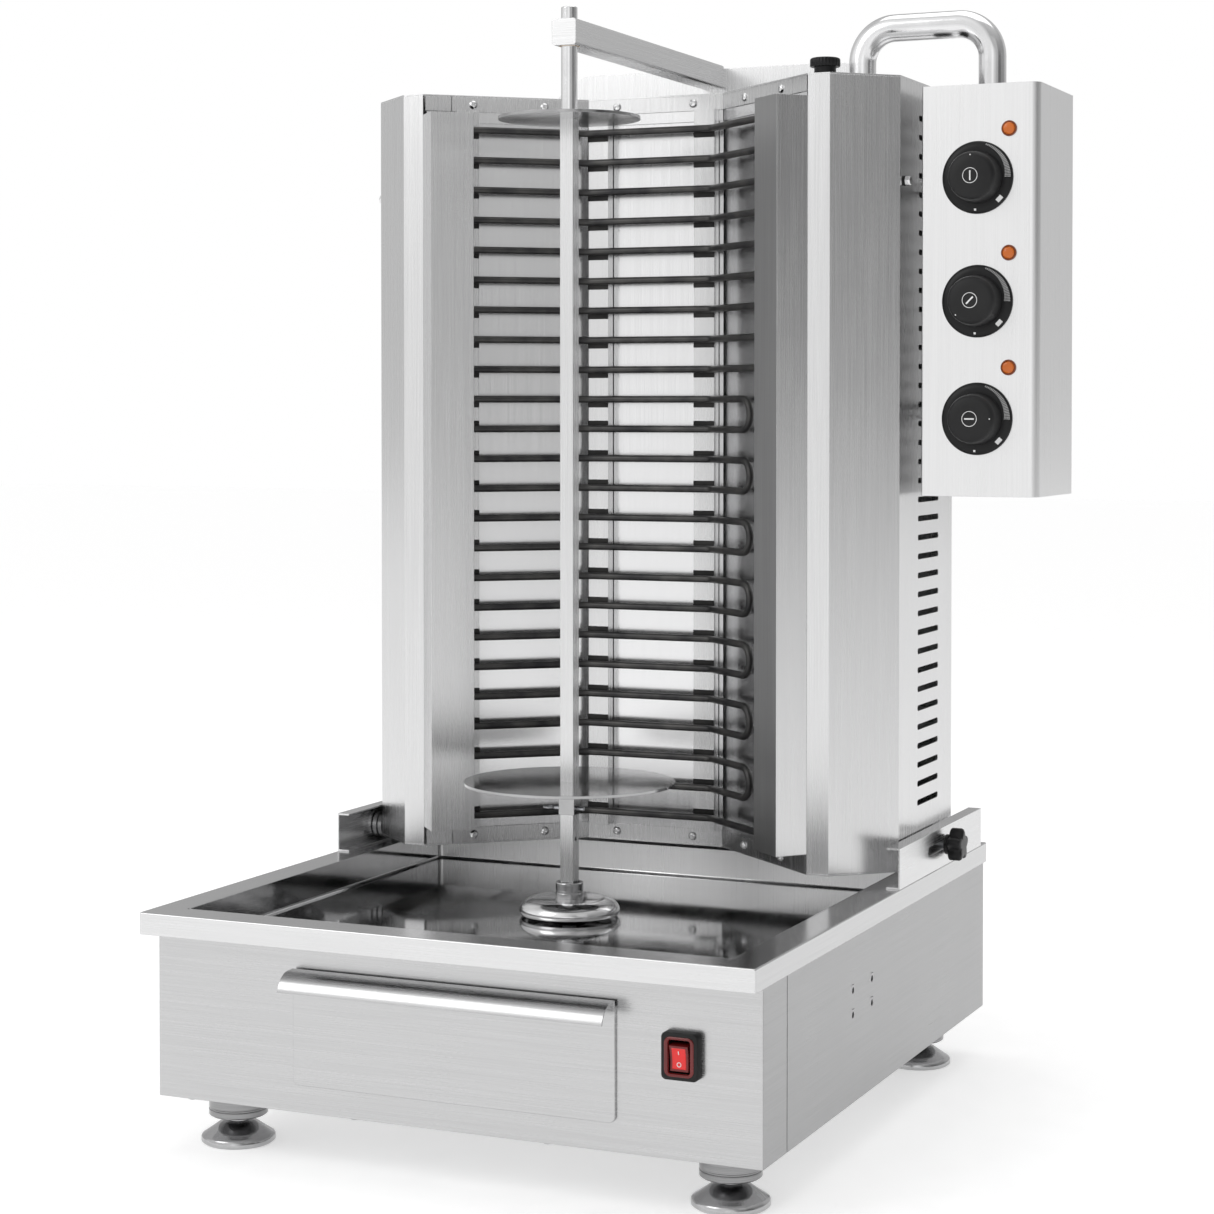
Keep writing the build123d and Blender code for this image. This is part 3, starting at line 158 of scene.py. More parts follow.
def relief(tree, bsdf, height, distance, normal=None, strength=1.0):
    """Bump from a pattern, with its real depth."""
    bump = tree.nodes.new("ShaderNodeBump")
    bump.inputs["Strength"].default_value = strength
    bump.inputs["Distance"].default_value = distance
    tree.links.new(height, bump.inputs["Height"])
    if normal is not None:
        tree.links.new(normal, bump.inputs["Normal"])
    tree.links.new(bump.outputs["Normal"], bsdf.inputs["Normal"])


FINE, LONG = 3000.0, 9.0         # grain lines per metre across the grain and along it


def brushed(name, grain, dark, light, roughness, depth=2e-6, edge=0.6 * MM):
    """Brushed sheet: fine lines along the grain axis, slow smudges, bright rounded edges."""
    material, bsdf = shader(name, metallic=1.0)
    tree = material.node_tree
    scale = [FINE, FINE, FINE]
    for axis in grain:
        scale["XYZ".index(axis)] = LONG
    broad = [s / 12 if s == FINE else s / 3 for s in scale]
    lines = stretched_noise(tree, scale, 3.0)
    bands = stretched_noise(tree, broad)
    smudges = stretched_noise(tree, (14, 14, 9), 4.0)
    pattern = total(tree, lines, bands, 0.25)
    tree.links.new(tint(tree, pattern, dark, light, 0.4, 0.85), bsdf.inputs["Base Color"])
    rough = total(tree, pattern, smudges, 0.5)
    tree.links.new(spread(tree, rough, *roughness, 0.55, 1.2), bsdf.inputs["Roughness"])
    relief(tree, bsdf, lines, depth, rounded_edges(tree, edge))
    return material


def polished(name, dark, light, roughness, edge=0.5 * MM):
    """Polished sheet or turned metal, with faint haze and hairlines."""
    material, bsdf = shader(name, metallic=1.0)
    tree = material.node_tree
    haze = stretched_noise(tree, (22, 22, 22), 5.0)
    hairs = stretched_noise(tree, (900, 40, 900), 2.0)
    pattern = total(tree, haze, hairs, 0.3)
    tree.links.new(tint(tree, pattern, dark, light, 0.45, 0.85), bsdf.inputs["Base Color"])
    tree.links.new(spread(tree, pattern, *roughness, 0.45, 0.85), bsdf.inputs["Roughness"])
    relief(tree, bsdf, hairs, 1e-6, rounded_edges(tree, edge))
    return material


def moulded(name, dark, light, roughness, grain=900.0, depth=8e-6, **constants):
    """Moulded plastic or rubber with a fine spark-eroded texture."""
    material, bsdf = shader(name, **constants)
    tree = material.node_tree
    texture = stretched_noise(tree, (grain, grain, grain), 2.0)
    cloud = stretched_noise(tree, (30, 30, 30), 3.0)
    tree.links.new(tint(tree, cloud, dark, light), bsdf.inputs["Base Color"])
    tree.links.new(spread(tree, total(tree, cloud, texture, 0.4), *roughness, 0.5, 1.0),
                   bsdf.inputs["Roughness"])
    relief(tree, bsdf, texture, depth)
    return material


def oxide_and_painted_shade(name, dark, light):
    """Heated metal: dark oxide with soft sheen and faint heat bands; near black, the same look also
    serves as painted shade on the holder plates.
    """
    material, bsdf = shader(name, metallic=0.75)
    tree = material.node_tree
    bands = stretched_noise(tree, (45, 45, 45), 3.0)
    scale = stretched_noise(tree, (1300, 1300, 1300), 3.0)
    tree.links.new(tint(tree, bands, dark, light), bsdf.inputs["Base Color"])
    tree.links.new(spread(tree, scale, 0.34, 0.5), bsdf.inputs["Roughness"])
    relief(tree, bsdf, scale, 1.5e-5)
    return material


STEEL_V = brushed("brushed_vertical", "Z", (0.63, 0.63, 0.633), (0.72, 0.72, 0.723), (0.22, 0.3))
STEEL_H = brushed("brushed_horizontal", "XY", (0.63, 0.63, 0.633), (0.72, 0.72, 0.723), (0.22, 0.3))
STEEL_BASE = brushed("brushed_base", "XY", (0.48, 0.48, 0.483), (0.56, 0.56, 0.563), (0.22, 0.3))
# Darker copy of the brushed steel for the base's side walls: painted shade on the sides turned away from
# the lights.
STEEL_SIDE_SHADE = brushed("brushed_side_painted_shade", "XY", (0.33, 0.33, 0.333), (0.4, 0.4, 0.403), (0.26, 0.34))
RIM_STEEL = brushed("brushed_rim", "XY", (0.5, 0.5, 0.503), (0.6, 0.6, 0.603), (0.14, 0.22))
STEEL_BOX = brushed("brushed_box", "Z", (0.74, 0.74, 0.742), (0.8, 0.8, 0.802), (0.26, 0.32), 1e-6)
# Darker copy of the brushed steel for the inner faces of the right wing: painted shade.
STEEL_WING_SHADE = brushed("brushed_wing_painted_shade", "Z", (0.3, 0.3, 0.302), (0.38, 0.38, 0.382), (0.3, 0.38))
DISC_STEEL = polished("disc_steel", (0.34, 0.34, 0.343), (0.43, 0.43, 0.433), (0.08, 0.14))
FOOT_STEEL = polished("foot_steel", (0.4, 0.4, 0.405), (0.55, 0.55, 0.555), (0.1, 0.18))
MIRROR = polished("mirror_tray", (0.5, 0.5, 0.503), (0.58, 0.58, 0.583), (0.05, 0.1))
POLISHED = polished("polished_steel", (0.68, 0.68, 0.685), (0.8, 0.8, 0.805), (0.1, 0.2))
REFLECTOR = brushed("reflector_sheet", "Z", (0.75, 0.75, 0.755), (0.83, 0.83, 0.835), (0.16, 0.24),
                    1.5e-6)
TURNED = brushed("turned_steel", "XY", (0.4, 0.4, 0.405), (0.56, 0.56, 0.565), (0.18, 0.28))
COLLAR_STEEL = brushed("turned_collar", "XY", (0.22, 0.22, 0.223), (0.36, 0.36, 0.363), (0.14, 0.22))
ZINC = brushed("zinc_plate", "X", (0.5, 0.51, 0.53), (0.66, 0.67, 0.69), (0.3, 0.45))
BRONZE = polished("bronze_bush", (0.45, 0.28, 0.13), (0.62, 0.42, 0.2), (0.25, 0.35))
TUBE = oxide_and_painted_shade("heating_tube", (0.03, 0.03, 0.032), (0.085, 0.083, 0.08))
# Near-black plates on the heater holders: painted shade around the rods, borrowing the oxide look.
HOLDER_SHADE = oxide_and_painted_shade("holder_painted_shade", (0.012, 0.012, 0.012), (0.035, 0.034, 0.033))
DULL = {"Specular_IOR_Level": 0.22}
PLASTIC = moulded("black_moulding", (0.007, 0.007, 0.0075), (0.012, 0.012, 0.0125), (0.28, 0.4), **DULL)
CAP_PLASTIC = moulded("dial_cap_moulding", (0.012, 0.012, 0.0125), (0.018, 0.018, 0.0185),
                      (0.38, 0.5), **DULL)
RUBBER = moulded("black_rubber", (0.009, 0.009, 0.009), (0.016, 0.016, 0.016), (0.42, 0.55), **DULL)
ENAMEL = moulded("motor_enamel", (0.02, 0.02, 0.022), (0.03, 0.03, 0.032), (0.3, 0.4))
PRINT = moulded("light_print", (0.72, 0.72, 0.72), (0.85, 0.85, 0.85), (0.5, 0.6))
GREY_PRINT = moulded("grey_print", (0.3, 0.3, 0.3), (0.4, 0.4, 0.4), (0.5, 0.6))
ORANGE = moulded("orange_lens", (0.5, 0.11, 0.008), (0.6, 0.14, 0.012), (0.12, 0.2), 300.0, 2e-6)
AMBER = moulded("amber_bezel", (0.16, 0.035, 0.008), (0.22, 0.05, 0.012), (0.15, 0.25), 300.0, 2e-6)
RED = moulded("red_rocker", (0.6, 0.012, 0.012), (0.75, 0.02, 0.02), (0.12, 0.2), 300.0, 2e-6)
DARK_RED = moulded("dark_red_frame", (0.1, 0.006, 0.006), (0.15, 0.009, 0.009), (0.2, 0.3), 300.0, 2e-6)

CAD_LOOKS = {
    STEEL_V: ("tower_casing", "wing_shields", "frame_strips", "element_holders", "rear_mast",
              "spindle_bar"),
    STEEL_BOX: ("control_box", "control_box_back"),
    STEEL_SIDE_SHADE: ("body_shell",),
    STEEL_BASE: ("front_panel", "drawer_front", "drawer_handle", "drawer_box", "bottom_plate"),
    STEEL_H: ("rails", "spindle_arm", "rear_deck", "tower_ends"),
    RIM_STEEL: ("top_frame",),
    POLISHED: ("conduit_pipe", "top_pin", "drip_dome", "panel_screws", "frame_screws"),
    DISC_STEEL: ("upper_disc", "lower_disc"),
    FOOT_STEEL: ("foot_front_left", "foot_front_right", "foot_rear_left", "foot_rear_right"),
    MIRROR: ("drip_tray",),
    REFLECTOR: ("reflectors",),
    TURNED: ("drive_socket", "guide_studs"),
    COLLAR_STEEL: ("foot_collars",),
    ZINC: ("cross_beam", "gear_case", "drive_gear", "drive_shaft", "motor_pinion", "drawer_runners",
           "hitch_pin"),
    BRONZE: ("arm_bush", "shaft_bearing"),
    TUBE: ("heater_top", "heater_middle", "heater_bottom"),
    PLASTIC: ("dial_skirts", "clamp_knob", "lock_knob", "cable_gland", "thermostats", "switch_housing"),
    CAP_PLASTIC: ("dial_top", "dial_middle", "dial_bottom"),
    RUBBER: ("shaft_seal",),
    ENAMEL: ("gear_motor",),
    ORANGE: ("indicator_lamps",),
    RED: ("switch_rocker",),
}
for look, names in CAD_LOOKS.items():
    for node_name in names:
        NODES[node_name].data.materials.clear()
        NODES[node_name].data.materials.append(look)


# ---------------------------------------------------------------- mesh building
class Shape:
    """Faces of one piece, gathered before they become an object."""

    def __init__(self):
        self.verts = []
        self.faces = []

    def add(self, verts, faces):
        first = len(self.verts)
        self.verts += [Vector(v) for v in verts]
        self.faces += [tuple(first + i for i in face) for face in faces]

    def lathe(self, profile, spot, axis, steps=48):
        """Turned body from (radius, height) pairs along the axis."""
        turn = axis.to_track_quat("Z", "X")
        verts, faces, rings = [], [], []
        for radius, height in profile:
            if radius == 0:
                rings.append([len(verts)] * steps)
                verts.append(turn @ Vector((0, 0, height)) + spot)
            else:
                rings.append([len(verts) + i for i in range(steps)])
                for i in range(steps):
                    a = 2 * pi * i / steps
                    verts.append(turn @ Vector((radius * cos(a), radius * sin(a), height)) + spot)
        for low, high in zip(rings, rings[1:]):
            for i in range(steps):
                j = (i + 1) % steps
                corners = dict.fromkeys((low[i], low[j], high[j], high[i]))
                if len(corners) > 2:
                    faces.append(tuple(corners))
        self.add(verts, faces)

    def prism(self, outline, spot, u, v, depth, chamfer=0.0):
        """Convex outline in the plane of u and v, raised along u x v, with its far edge chamfered."""
        w = u.cross(v)
        count = len(outline)
        mid_a = sum(a for a, _ in outline) / count
        mid_b = sum(b for _, b in outline) / count
        reach = max(max(abs(a - mid_a), abs(b - mid_b)) for a, b in outline)
        layers = [(0.0, 1.0), (depth - chamfer, 1.0), (depth, 1.0 - chamfer / reach)]
        verts = []
        for height, share in layers:
            for a, b in outline:
                a, b = mid_a + (a - mid_a) * share, mid_b + (b - mid_b) * share
                verts.append(spot + u * a + v * b + w * height)
        faces = [tuple(range(count))[::-1], tuple(range(2 * count, 3 * count))]
        for k in range(2):
            for i in range(count):
                j = (i + 1) % count
                faces.append((k * count + i, k * count + j, (k + 1) * count + j, (k + 1) * count + i))
        self.add(verts, faces)

    def tube(self, path, radius, sides=12):
        """Round wire along a path, with closed ends."""
        verts, faces = [], []
        ahead = (path[1] - path[0]).normalized()
        across = ahead.orthogonal().normalized()
        for k, point in enumerate(path):
            before = path[max(k - 1, 0)]
            after = path[min(k + 1, len(path) - 1)]
            ahead = (after - before).normalized()
            across = (across - ahead * across.dot(ahead)).normalized()
            other = ahead.cross(across)
            for i in range(sides):
                a = 2 * pi * i / sides
                verts.append(point + across * (radius * cos(a)) + other * (radius * sin(a)))
        for k in range(len(path) - 1):
            for i in range(sides):
                j = (i + 1) % sides
                faces.append((k * sides + i, k * sides + j, (k + 1) * sides + j, (k + 1) * sides + i))
        faces.append(tuple(range(sides))[::-1])
        faces.append(tuple(range(len(verts) - sides, len(verts))))
        self.add(verts, faces)

    def finish(self, name, look, body, *replaced, crease=32):
        """Make the object, shade it smooth up to the crease angle and set it on its body."""
        mesh = bpy.data.meshes.new(name)
        mesh.from_pydata(self.verts, [], self.faces)
        grown = bmesh.new()
        grown.from_mesh(mesh)
        bmesh.ops.recalc_face_normals(grown, faces=grown.faces)
        grown.to_mesh(mesh)
        grown.free()
        mesh.shade_smooth()
        mesh.set_sharp_from_angle(angle=radians(crease))
        mesh.materials.append(look)
        piece = bpy.data.objects.new(name, mesh)
        bpy.context.scene.collection.objects.link(piece)
        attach(piece, body)
        if replaced:
            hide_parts(*replaced)
        return piece


def rounded_rectangle(width, height, radius, steps=6):
    """Outline of a rectangle with rounded corners."""
    points = []
    for k, (sx, sy) in enumerate(((1, 1), (-1, 1), (-1, -1), (1, -1))):
        for i in range(steps + 1):
            a = pi / 2 * (k + i / steps)
            points.append((sx * (width / 2 - radius) + radius * cos(a),
                           sy * (height / 2 - radius) + radius * sin(a)))
    return points


def rings_skin(rings, steps):
    """Faces that join equal rings of points, with both ends closed."""
    faces = [(k * steps + i, k * steps + (i + 1) % steps, (k + 1) * steps + (i + 1) % steps,
              (k + 1) * steps + i) for k in range(rings - 1) for i in range(steps)]
    return faces + [tuple(range(steps)), tuple(range((rings - 1) * steps, rings * steps))]


def clock(hour, radius):
    """Position on a dial face as (right, up) for an hour of the clock."""
    a = radians(90 - 30 * hour)
    return radius * cos(a), radius * sin(a)


# ---------------------------------------------------------------- dials and lamps
SKIRT_LOW, SKIRT_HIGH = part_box("dial_skirts")
SKIRT_FACE = SKIRT_LOW.y
SKIRT_BACK = SKIRT_HIGH.y
SKIRT_R = (SKIRT_HIGH.x - SKIRT_LOW.x) / 2
DIAL_START = {"dial_top": 0.0, "dial_middle": 7.5, "dial_bottom": 3.0}
skirts = Shape()
scales = Shape()
marks = Shape()
for dial, hour in DIAL_START.items():
    low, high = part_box(dial)
    spot = Vector((centre(dial).x, SKIRT_FACE, centre(dial).z))
    radius = (high.x - low.x) / 2
    depth = SKIRT_FACE - low.y
    cap = Shape()
    cap.lathe(
        [(0, 0.2 * MM), (radius, 0.2 * MM), (radius, 1.4 * MM), (radius * 0.985, 2 * MM),
         (radius * 0.93, depth * 0.72), (radius * 0.9, depth * 0.86), (radius * 0.84, depth * 0.94),
         (radius * 0.76, depth * 0.975), (radius * 0.5, depth * 0.99), (0, depth)],
        spot, FRONT, 72,
    )
    cap.finish(f"{dial}_cap", CAP_PLASTIC, dial, dial, crease=50)
    printed = Shape()
    face = Vector((spot.x, low.y + depth * 0.018, spot.z))
    right, up = clock(hour, radius * 0.78)
    printed.lathe([(0, 0), (0.55 * MM, 0), (0.55 * MM, 0.35 * MM), (0, 0.35 * MM)],
                  face + RIGHT * right + UP * up + BACK * 0.5 * MM, FRONT, 12)
    ring = [face + RIGHT * clock(h / 4, 6.4 * MM)[0] + UP * clock(h / 4, 6.4 * MM)[1] for h in range(49)]
    printed.tube(ring, 0.42 * MM, 6)
    right, up = clock(hour, 4.2 * MM)
    printed.tube([face - RIGHT * right - UP * up, face + RIGHT * right + UP * up], 0.8 * MM, 6)
    printed.finish(f"{dial}_print", PRINT, dial)
    rise = SKIRT_BACK - SKIRT_FACE
    base = Vector((spot.x, SKIRT_BACK, spot.z))
    skirts.lathe(
        [(0, 0), (SKIRT_R, 0), (SKIRT_R, rise * 0.35), (SKIRT_R * 0.985, rise * 0.6),
         (SKIRT_R * 0.86, rise * 0.93), (SKIRT_R * 0.8, rise * 0.96), (0, rise * 0.96)],
        base, FRONT, 96,
    )
    for k in range(27):
        part = k / 26
        reach = 1.2 + 4.0 * part
        inner = clock(0.55 + 2.45 * part, (29.6 - reach) * MM)
        outer = clock(0.55 + 2.45 * part, 29.6 * MM)
        scales.tube([base + FRONT * (rise * 0.92) + RIGHT * inner[0] + UP * inner[1],
                     base + FRONT * (rise * 0.76) + RIGHT * outer[0] + UP * outer[1]], 0.5 * MM, 5)
    for hour_mark, inner_r, outer_r, thick in ((4.45, 25.6, 29.2, 2.9), (6.1, 26.8, 28.6, 0.9)):
        inner = clock(hour_mark, inner_r * MM)
        outer = clock(hour_mark, outer_r * MM)
        side_x, side_z = clock(hour_mark + 3, thick * MM)
        across = Vector((side_x, 0, side_z))
        start = base + FRONT * (rise * 0.93) + RIGHT * inner[0] + UP * inner[1]
        end = base + FRONT * (rise * 0.8) + RIGHT * outer[0] + UP * outer[1]
        corners = [start - across, start + across, end + across, end - across]
        lifted = [c + FRONT * 0.35 * MM for c in corners]
        marks.add(corners + lifted, [(0, 1, 2, 3), (4, 5, 6, 7), (0, 1, 5, 4), (1, 2, 6, 5),
                                     (2, 3, 7, 6), (3, 0, 4, 7)])
skirts.finish("skirt_mouldings", PLASTIC, "tower", "dial_skirts", crease=50)
scales.finish("heat_scales", GREY_PRINT, "tower")
marks.finish("skirt_marks", PRINT, "tower")

bezels = Shape()
lenses = Shape()
for lamp in solids("indicator_lamps"):
    low, high = solid_box(lamp)
    spot = Vector(((low.x + high.x) / 2, low.y + 3 * MM, (low.z + high.z) / 2))
    radius = (high.x - low.x) / 2
    bezels.lathe([(radius * 0.66, -2 * MM), (radius * 0.98, -2 * MM), (radius * 0.98, 0.9 * MM),
                  (radius * 0.93, 1.4 * MM), (radius * 0.82, 1.5 * MM), (radius * 0.76, 1.0 * MM),
                  (radius * 0.76, -1 * MM)], spot, FRONT)
    lenses.lathe([(0, -2 * MM), (radius * 0.75, -2 * MM), (radius * 0.75, 1.6 * MM),
                  (radius * 0.7, 2.3 * MM), (radius * 0.5, 2.7 * MM), (0, 2.95 * MM)], spot, FRONT)
bezels.finish("lamp_bezels", AMBER, "tower")
lenses.finish("lamp_lenses", ORANGE, "tower", "indicator_lamps", crease=60)

# ---------------------------------------------------------------- rocker switch
HOUSING_LOW, HOUSING_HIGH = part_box("switch_housing")
spot = centre("switch_housing")
bezel_w = HOUSING_HIGH.x - HOUSING_LOW.x
bezel_h = HOUSING_HIGH.z - HOUSING_LOW.z
BOOT_OUT = 9 * MM
PANEL_FACE = HOUSING_LOW.y + BOOT_OUT
surround = Shape()
well = (17.0 * MM, 25.0 * MM)
outer = rounded_rectangle(bezel_w, bezel_h, 4 * MM)


def stacked(shape, spot, outlines):
    """Add the skin that joins matching outlines, each at its own height in front of the panel."""
    verts = []
    for outline, height in outlines:
        verts += [Vector((spot.x + a, PANEL_FACE - height, spot.z + b)) for a, b in outline]
    count = len(outlines[0][0])
    faces = []
    for k in range(len(outlines) - 1):
        for i in range(count):
            j = (i + 1) % count
            faces.append((k * count + i, k * count + j, (k + 1) * count + j, (k + 1) * count + i))
    shape.add(verts, faces)


stacked(surround, spot, (
    (outer, 0.1 * MM),
    (outer, BOOT_OUT - 1.8 * MM),
    (rounded_rectangle(bezel_w - 1.0 * MM, bezel_h - 1.0 * MM, 3.6 * MM), BOOT_OUT - 0.6 * MM),
    (rounded_rectangle(bezel_w - 3.2 * MM, bezel_h - 3.2 * MM, 3 * MM), BOOT_OUT - 0.05 * MM),
    (rounded_rectangle(well[0] + 4 * MM, well[1] + 3 * MM, 2 * MM), BOOT_OUT - 0.5 * MM),
    (rounded_rectangle(well[0], well[1], 1 * MM), BOOT_OUT - 1.4 * MM),
    (rounded_rectangle(well[0], well[1], 1 * MM), -10 * MM),
))
surround.finish("switch_surround", RUBBER, "base", "switch_housing", crease=40)

membrane = Shape()
stacked(membrane, spot, (
    (rounded_rectangle(24 * MM, 30 * MM, 5 * MM), BOOT_OUT - 1.0 * MM),
    (rounded_rectangle(24 * MM, 30 * MM, 5 * MM), BOOT_OUT + 0.1 * MM),
    (rounded_rectangle(22.6 * MM, 28.6 * MM, 4 * MM), BOOT_OUT + 0.5 * MM),
    (rounded_rectangle(18.4 * MM, 26 * MM, 2.5 * MM), BOOT_OUT + 0.1 * MM),
    (rounded_rectangle(17 * MM, 25 * MM, 1.5 * MM), BOOT_OUT - 1.2 * MM),
))
membrane.finish("switch_membrane", DARK_RED, "base", crease=40)

rocker_mesh = NODES["switch_rocker"].data
ROCKER = np.array([v.co for v in rocker_mesh.vertices], float)
ROCKER_LOW, ROCKER_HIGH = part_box("switch_rocker")
top_edge = Vector(ROCKER[ROCKER[:, 2].argmax()])
bottom_edge = Vector(ROCKER[ROCKER[:, 2].argmin()])
along_z = Vector((0, top_edge.y - bottom_edge.y, top_edge.z - bottom_edge.z))
rocker_up = along_z.normalized()
rocker_out = RIGHT.cross(rocker_up) * -1
if rocker_out.y > 0:
    rocker_out = -rocker_out
half_w = (ROCKER_HIGH.x - ROCKER_LOW.x) / 2
half_h = along_z.length / 2
middle = (top_edge + bottom_edge) / 2
middle.x = centre("switch_rocker").x


def rocker_face(across, height, lift):
    """Point on the rocker's hollowed face, moved out by lift."""
    sag = 1.5 * MM * (1 - (height / half_h) ** 2)
    return middle + RIGHT * across + rocker_up * height + rocker_out * (lift - sag)


def rocker_plate(width, height, lift, depth):
    """Curved plate that follows the rocker's face."""
    rows = [k / 8 - 1 for k in range(17)]
    plate = Shape()
    verts = []
    for level, share in ((lift - depth, 1.0), (lift - 0.4 * MM, 1.0), (lift, 0.94)):
        for row in rows:
            for side_sign in (-1, 1):
                verts.append(rocker_face(side_sign * width * share, row * height * share, level))
    faces = []
    n = len(rows) * 2
    for k in range(len(rows) - 1):
        faces.append((2 * n + 2 * k, 2 * n + 2 * k + 1, 2 * n + 2 * k + 3, 2 * n + 2 * k + 2))
        faces.append((2 * k, 2 * k + 1, 2 * k + 3, 2 * k + 2))
        for level in range(2):
            for s in (0, 1):
                a = level * n + 2 * k + s
                faces.append((a, a + 2, a + 2 + n, a + n))
    for level in range(2):
        for end in (0, n - 2):
            a = level * n + end
            faces.append((a, a + 1, a + 1 + n, a + n))
    plate.add(verts, faces)
    return plate


rocker_plate(half_w - 0.1 * MM, half_h - 0.3 * MM, -0.5 * MM, 9 * MM).finish(
    "rocker_frame", DARK_RED, "rocker", "switch_rocker", crease=40)
rocker_plate(half_w * 0.74, half_h * 0.8, -0.1 * MM, 2 * MM).finish(
    "rocker_window", RED, "rocker", crease=40)
legend = Shape()
legend.tube([rocker_face(0, half_h * 0.32, 0), rocker_face(0, half_h * 0.58, 0)], 0.35 * MM, 6)
legend.tube([rocker_face(1.6 * MM * cos(pi * k / 12), -half_h * 0.45 + 1.6 * MM * sin(pi * k / 12), 0)
             for k in range(25)], 0.3 * MM, 6)
legend.finish("rocker_marks", PRINT, "rocker")


# ---------------------------------------------------------------- screws
def screw_axis(points):
    """Thin direction of a screw head's solid."""
    spread_of = points - points.mean(0)
    return Vector(np.linalg.svd(spread_of, full_matrices=False)[2][-1]).normalized()


def dome_screw(shape, seat, axis, radius, height):
    """Round head with a socket in the middle and a thin washer face."""
    shape.lathe(
        [(0, -0.8 * MM), (radius, -0.8 * MM), (radius, 0.12 * height), (radius * 0.94, 0.42 * height),
         (radius * 0.78, 0.72 * height), (radius * 0.55, 0.93 * height), (radius * 0.42, height),
         (radius * 0.37, height * 0.98), (radius * 0.34, height * 0.45), (0, height * 0.4)],
        seat, axis, 28,
    )


base_screws = Shape()
for head in solids("panel_screws"):
    low, high = solid_box(head)
    size = high - low
    mid = (low + high) / 2
    if size.x < size.z or size.x > 2 * size.y:
        outward = RIGHT if mid.x > centre("body_shell").x else LEFT
        seat = Vector((high.x - 2.4 * MM if outward.x > 0 else low.x + 2.4 * MM, mid.y, mid.z))
    else:
        outward = DOWN
        seat = Vector((mid.x, mid.y, high.z))
    dome_screw(base_screws, seat, outward, 4.2 * MM, 2.35 * MM)
base_screws.finish("panel_screw_heads", FOOT_STEEL, "base", "panel_screws", crease=45)

frame_heads = Shape()
side_bolts = Shape()
shadow_washers = Shape()
for head in solids("frame_screws"):
    low, high = solid_box(head)
    size = high - low
    mid = (low + high) / 2
    axis = screw_axis(head)
    if axis.y > 0:
        axis = -axis
    along_axis = (head - np.array(mid)) @ np.array(axis)
    if abs(axis.x) > 0.98:
        outward = RIGHT if mid.x > centre("tower_casing").x else LEFT
        wall = low.x if outward.x > 0 else high.x
        seat = Vector((wall, mid.y, mid.z))
        bolt_r = size.z / 2
        hexagon = [clock(2 * k + 1, bolt_r * 0.96) for k in range(6)]
        side_bolts.prism(hexagon, seat + outward * 1.6 * MM, outward.cross(UP) * -1, UP,
                         4.6 * MM, 0.6 * MM)
        # A black rubber washer under each side bolt head; it also stands in for the dark shadow under
        # the head, so it is partly painted shadow.
        shadow_washers.lathe([(0, 0.1 * MM), (bolt_r, 0.1 * MM), (bolt_r, 1.3 * MM), (bolt_r * 0.9, 1.6 * MM),
                       (0, 1.6 * MM)], seat, outward, 24)
    else:
        seat = mid + axis * float(along_axis.min())
        dome_screw(frame_heads, seat, axis, size.z / 2, float(along_axis.max() - along_axis.min()))
frame_heads.finish("frame_screw_heads", POLISHED, "tower", "frame_screws", crease=45)
side_bolts.finish("side_bolt_heads", POLISHED, "tower")
shadow_washers.finish("side_bolt_shadow_washers", RUBBER, "tower")

# ---------------------------------------------------------------- spindle foot: dome, socket, pin
DOME_LOW, DOME_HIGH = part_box("drip_dome")
SOCKET_LOW, SOCKET_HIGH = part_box("drive_socket")
AXLE = Vector((centre("drip_dome").x, centre("drip_dome").y, 0))
dome_r = (DOME_HIGH.x - DOME_LOW.x) / 2
dome_h = DOME_HIGH.z - DOME_LOW.z
dome = Shape()
dome.lathe(
    [(dome_r * share, dome_h * rise) for share, rise in (
        (0.94, 0.05), (0.972, 0.0), (0.994, 0.11), (1.0, 0.22), (0.988, 0.39), (0.956, 0.57),
        (0.9, 0.745), (0.83, 0.88), (0.755, 0.96), (0.667, 1.0), (0.19, 1.0), (0.19, 0.93),
        (0.66, 0.92), (0.8, 0.79), (0.9, 0.56), (0.945, 0.32), (0.954, 0.22), (0.94, 0.05))],
    Vector((AXLE.x, AXLE.y, DOME_LOW.z)), UP, 96,
)
dome.finish("drip_dome_pressing", POLISHED, "spindle", "drip_dome", crease=38)

socket_r = (SOCKET_HIGH.x - SOCKET_LOW.x) / 2
socket_h = SOCKET_HIGH.z - SOCKET_LOW.z
socket = Shape()
socket.lathe(
    [(0, 0), (socket_r, 0), (socket_r, 0.3 * socket_h), (socket_r * 0.97, 0.34 * socket_h),
     (socket_r * 0.97, 0.46 * socket_h), (socket_r, 0.5 * socket_h), (socket_r, 0.94 * socket_h),
     (socket_r * 0.96, socket_h), (socket_r * 0.76, socket_h), (socket_r * 0.74, 0.5 * socket_h),
     (0, 0.5 * socket_h)],
    Vector((AXLE.x, AXLE.y, SOCKET_LOW.z)), UP, 64,
)
socket.finish("socket_turning", TURNED, "spindle", "drive_socket", crease=30)

PIN_LOW, PIN_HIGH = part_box("hitch_pin")
pin_z = (PIN_LOW.z + PIN_HIGH.z) / 2
pin_y = (PIN_LOW.y + PIN_HIGH.y) / 2
pin = Shape()
pin_start = Vector((PIN_LOW.x + 10 * MM, pin_y, pin_z))
pin_end = Vector((PIN_HIGH.x - 0.3 * MM, pin_y, pin_z))
pin.tube([pin_start, pin_end], 1.7 * MM, 16)
loop_x = PIN_LOW.x + 6 * MM
pin.tube([Vector((loop_x + 4.7 * MM * cos(pi * k / 12), pin_y + 4.7 * MM * sin(pi * k / 12), pin_z))
          for k in range(25)], 0.95 * MM, 10)
pin.finish("hitch_pin_wire", ZINC, "spindle", "hitch_pin", crease=60)

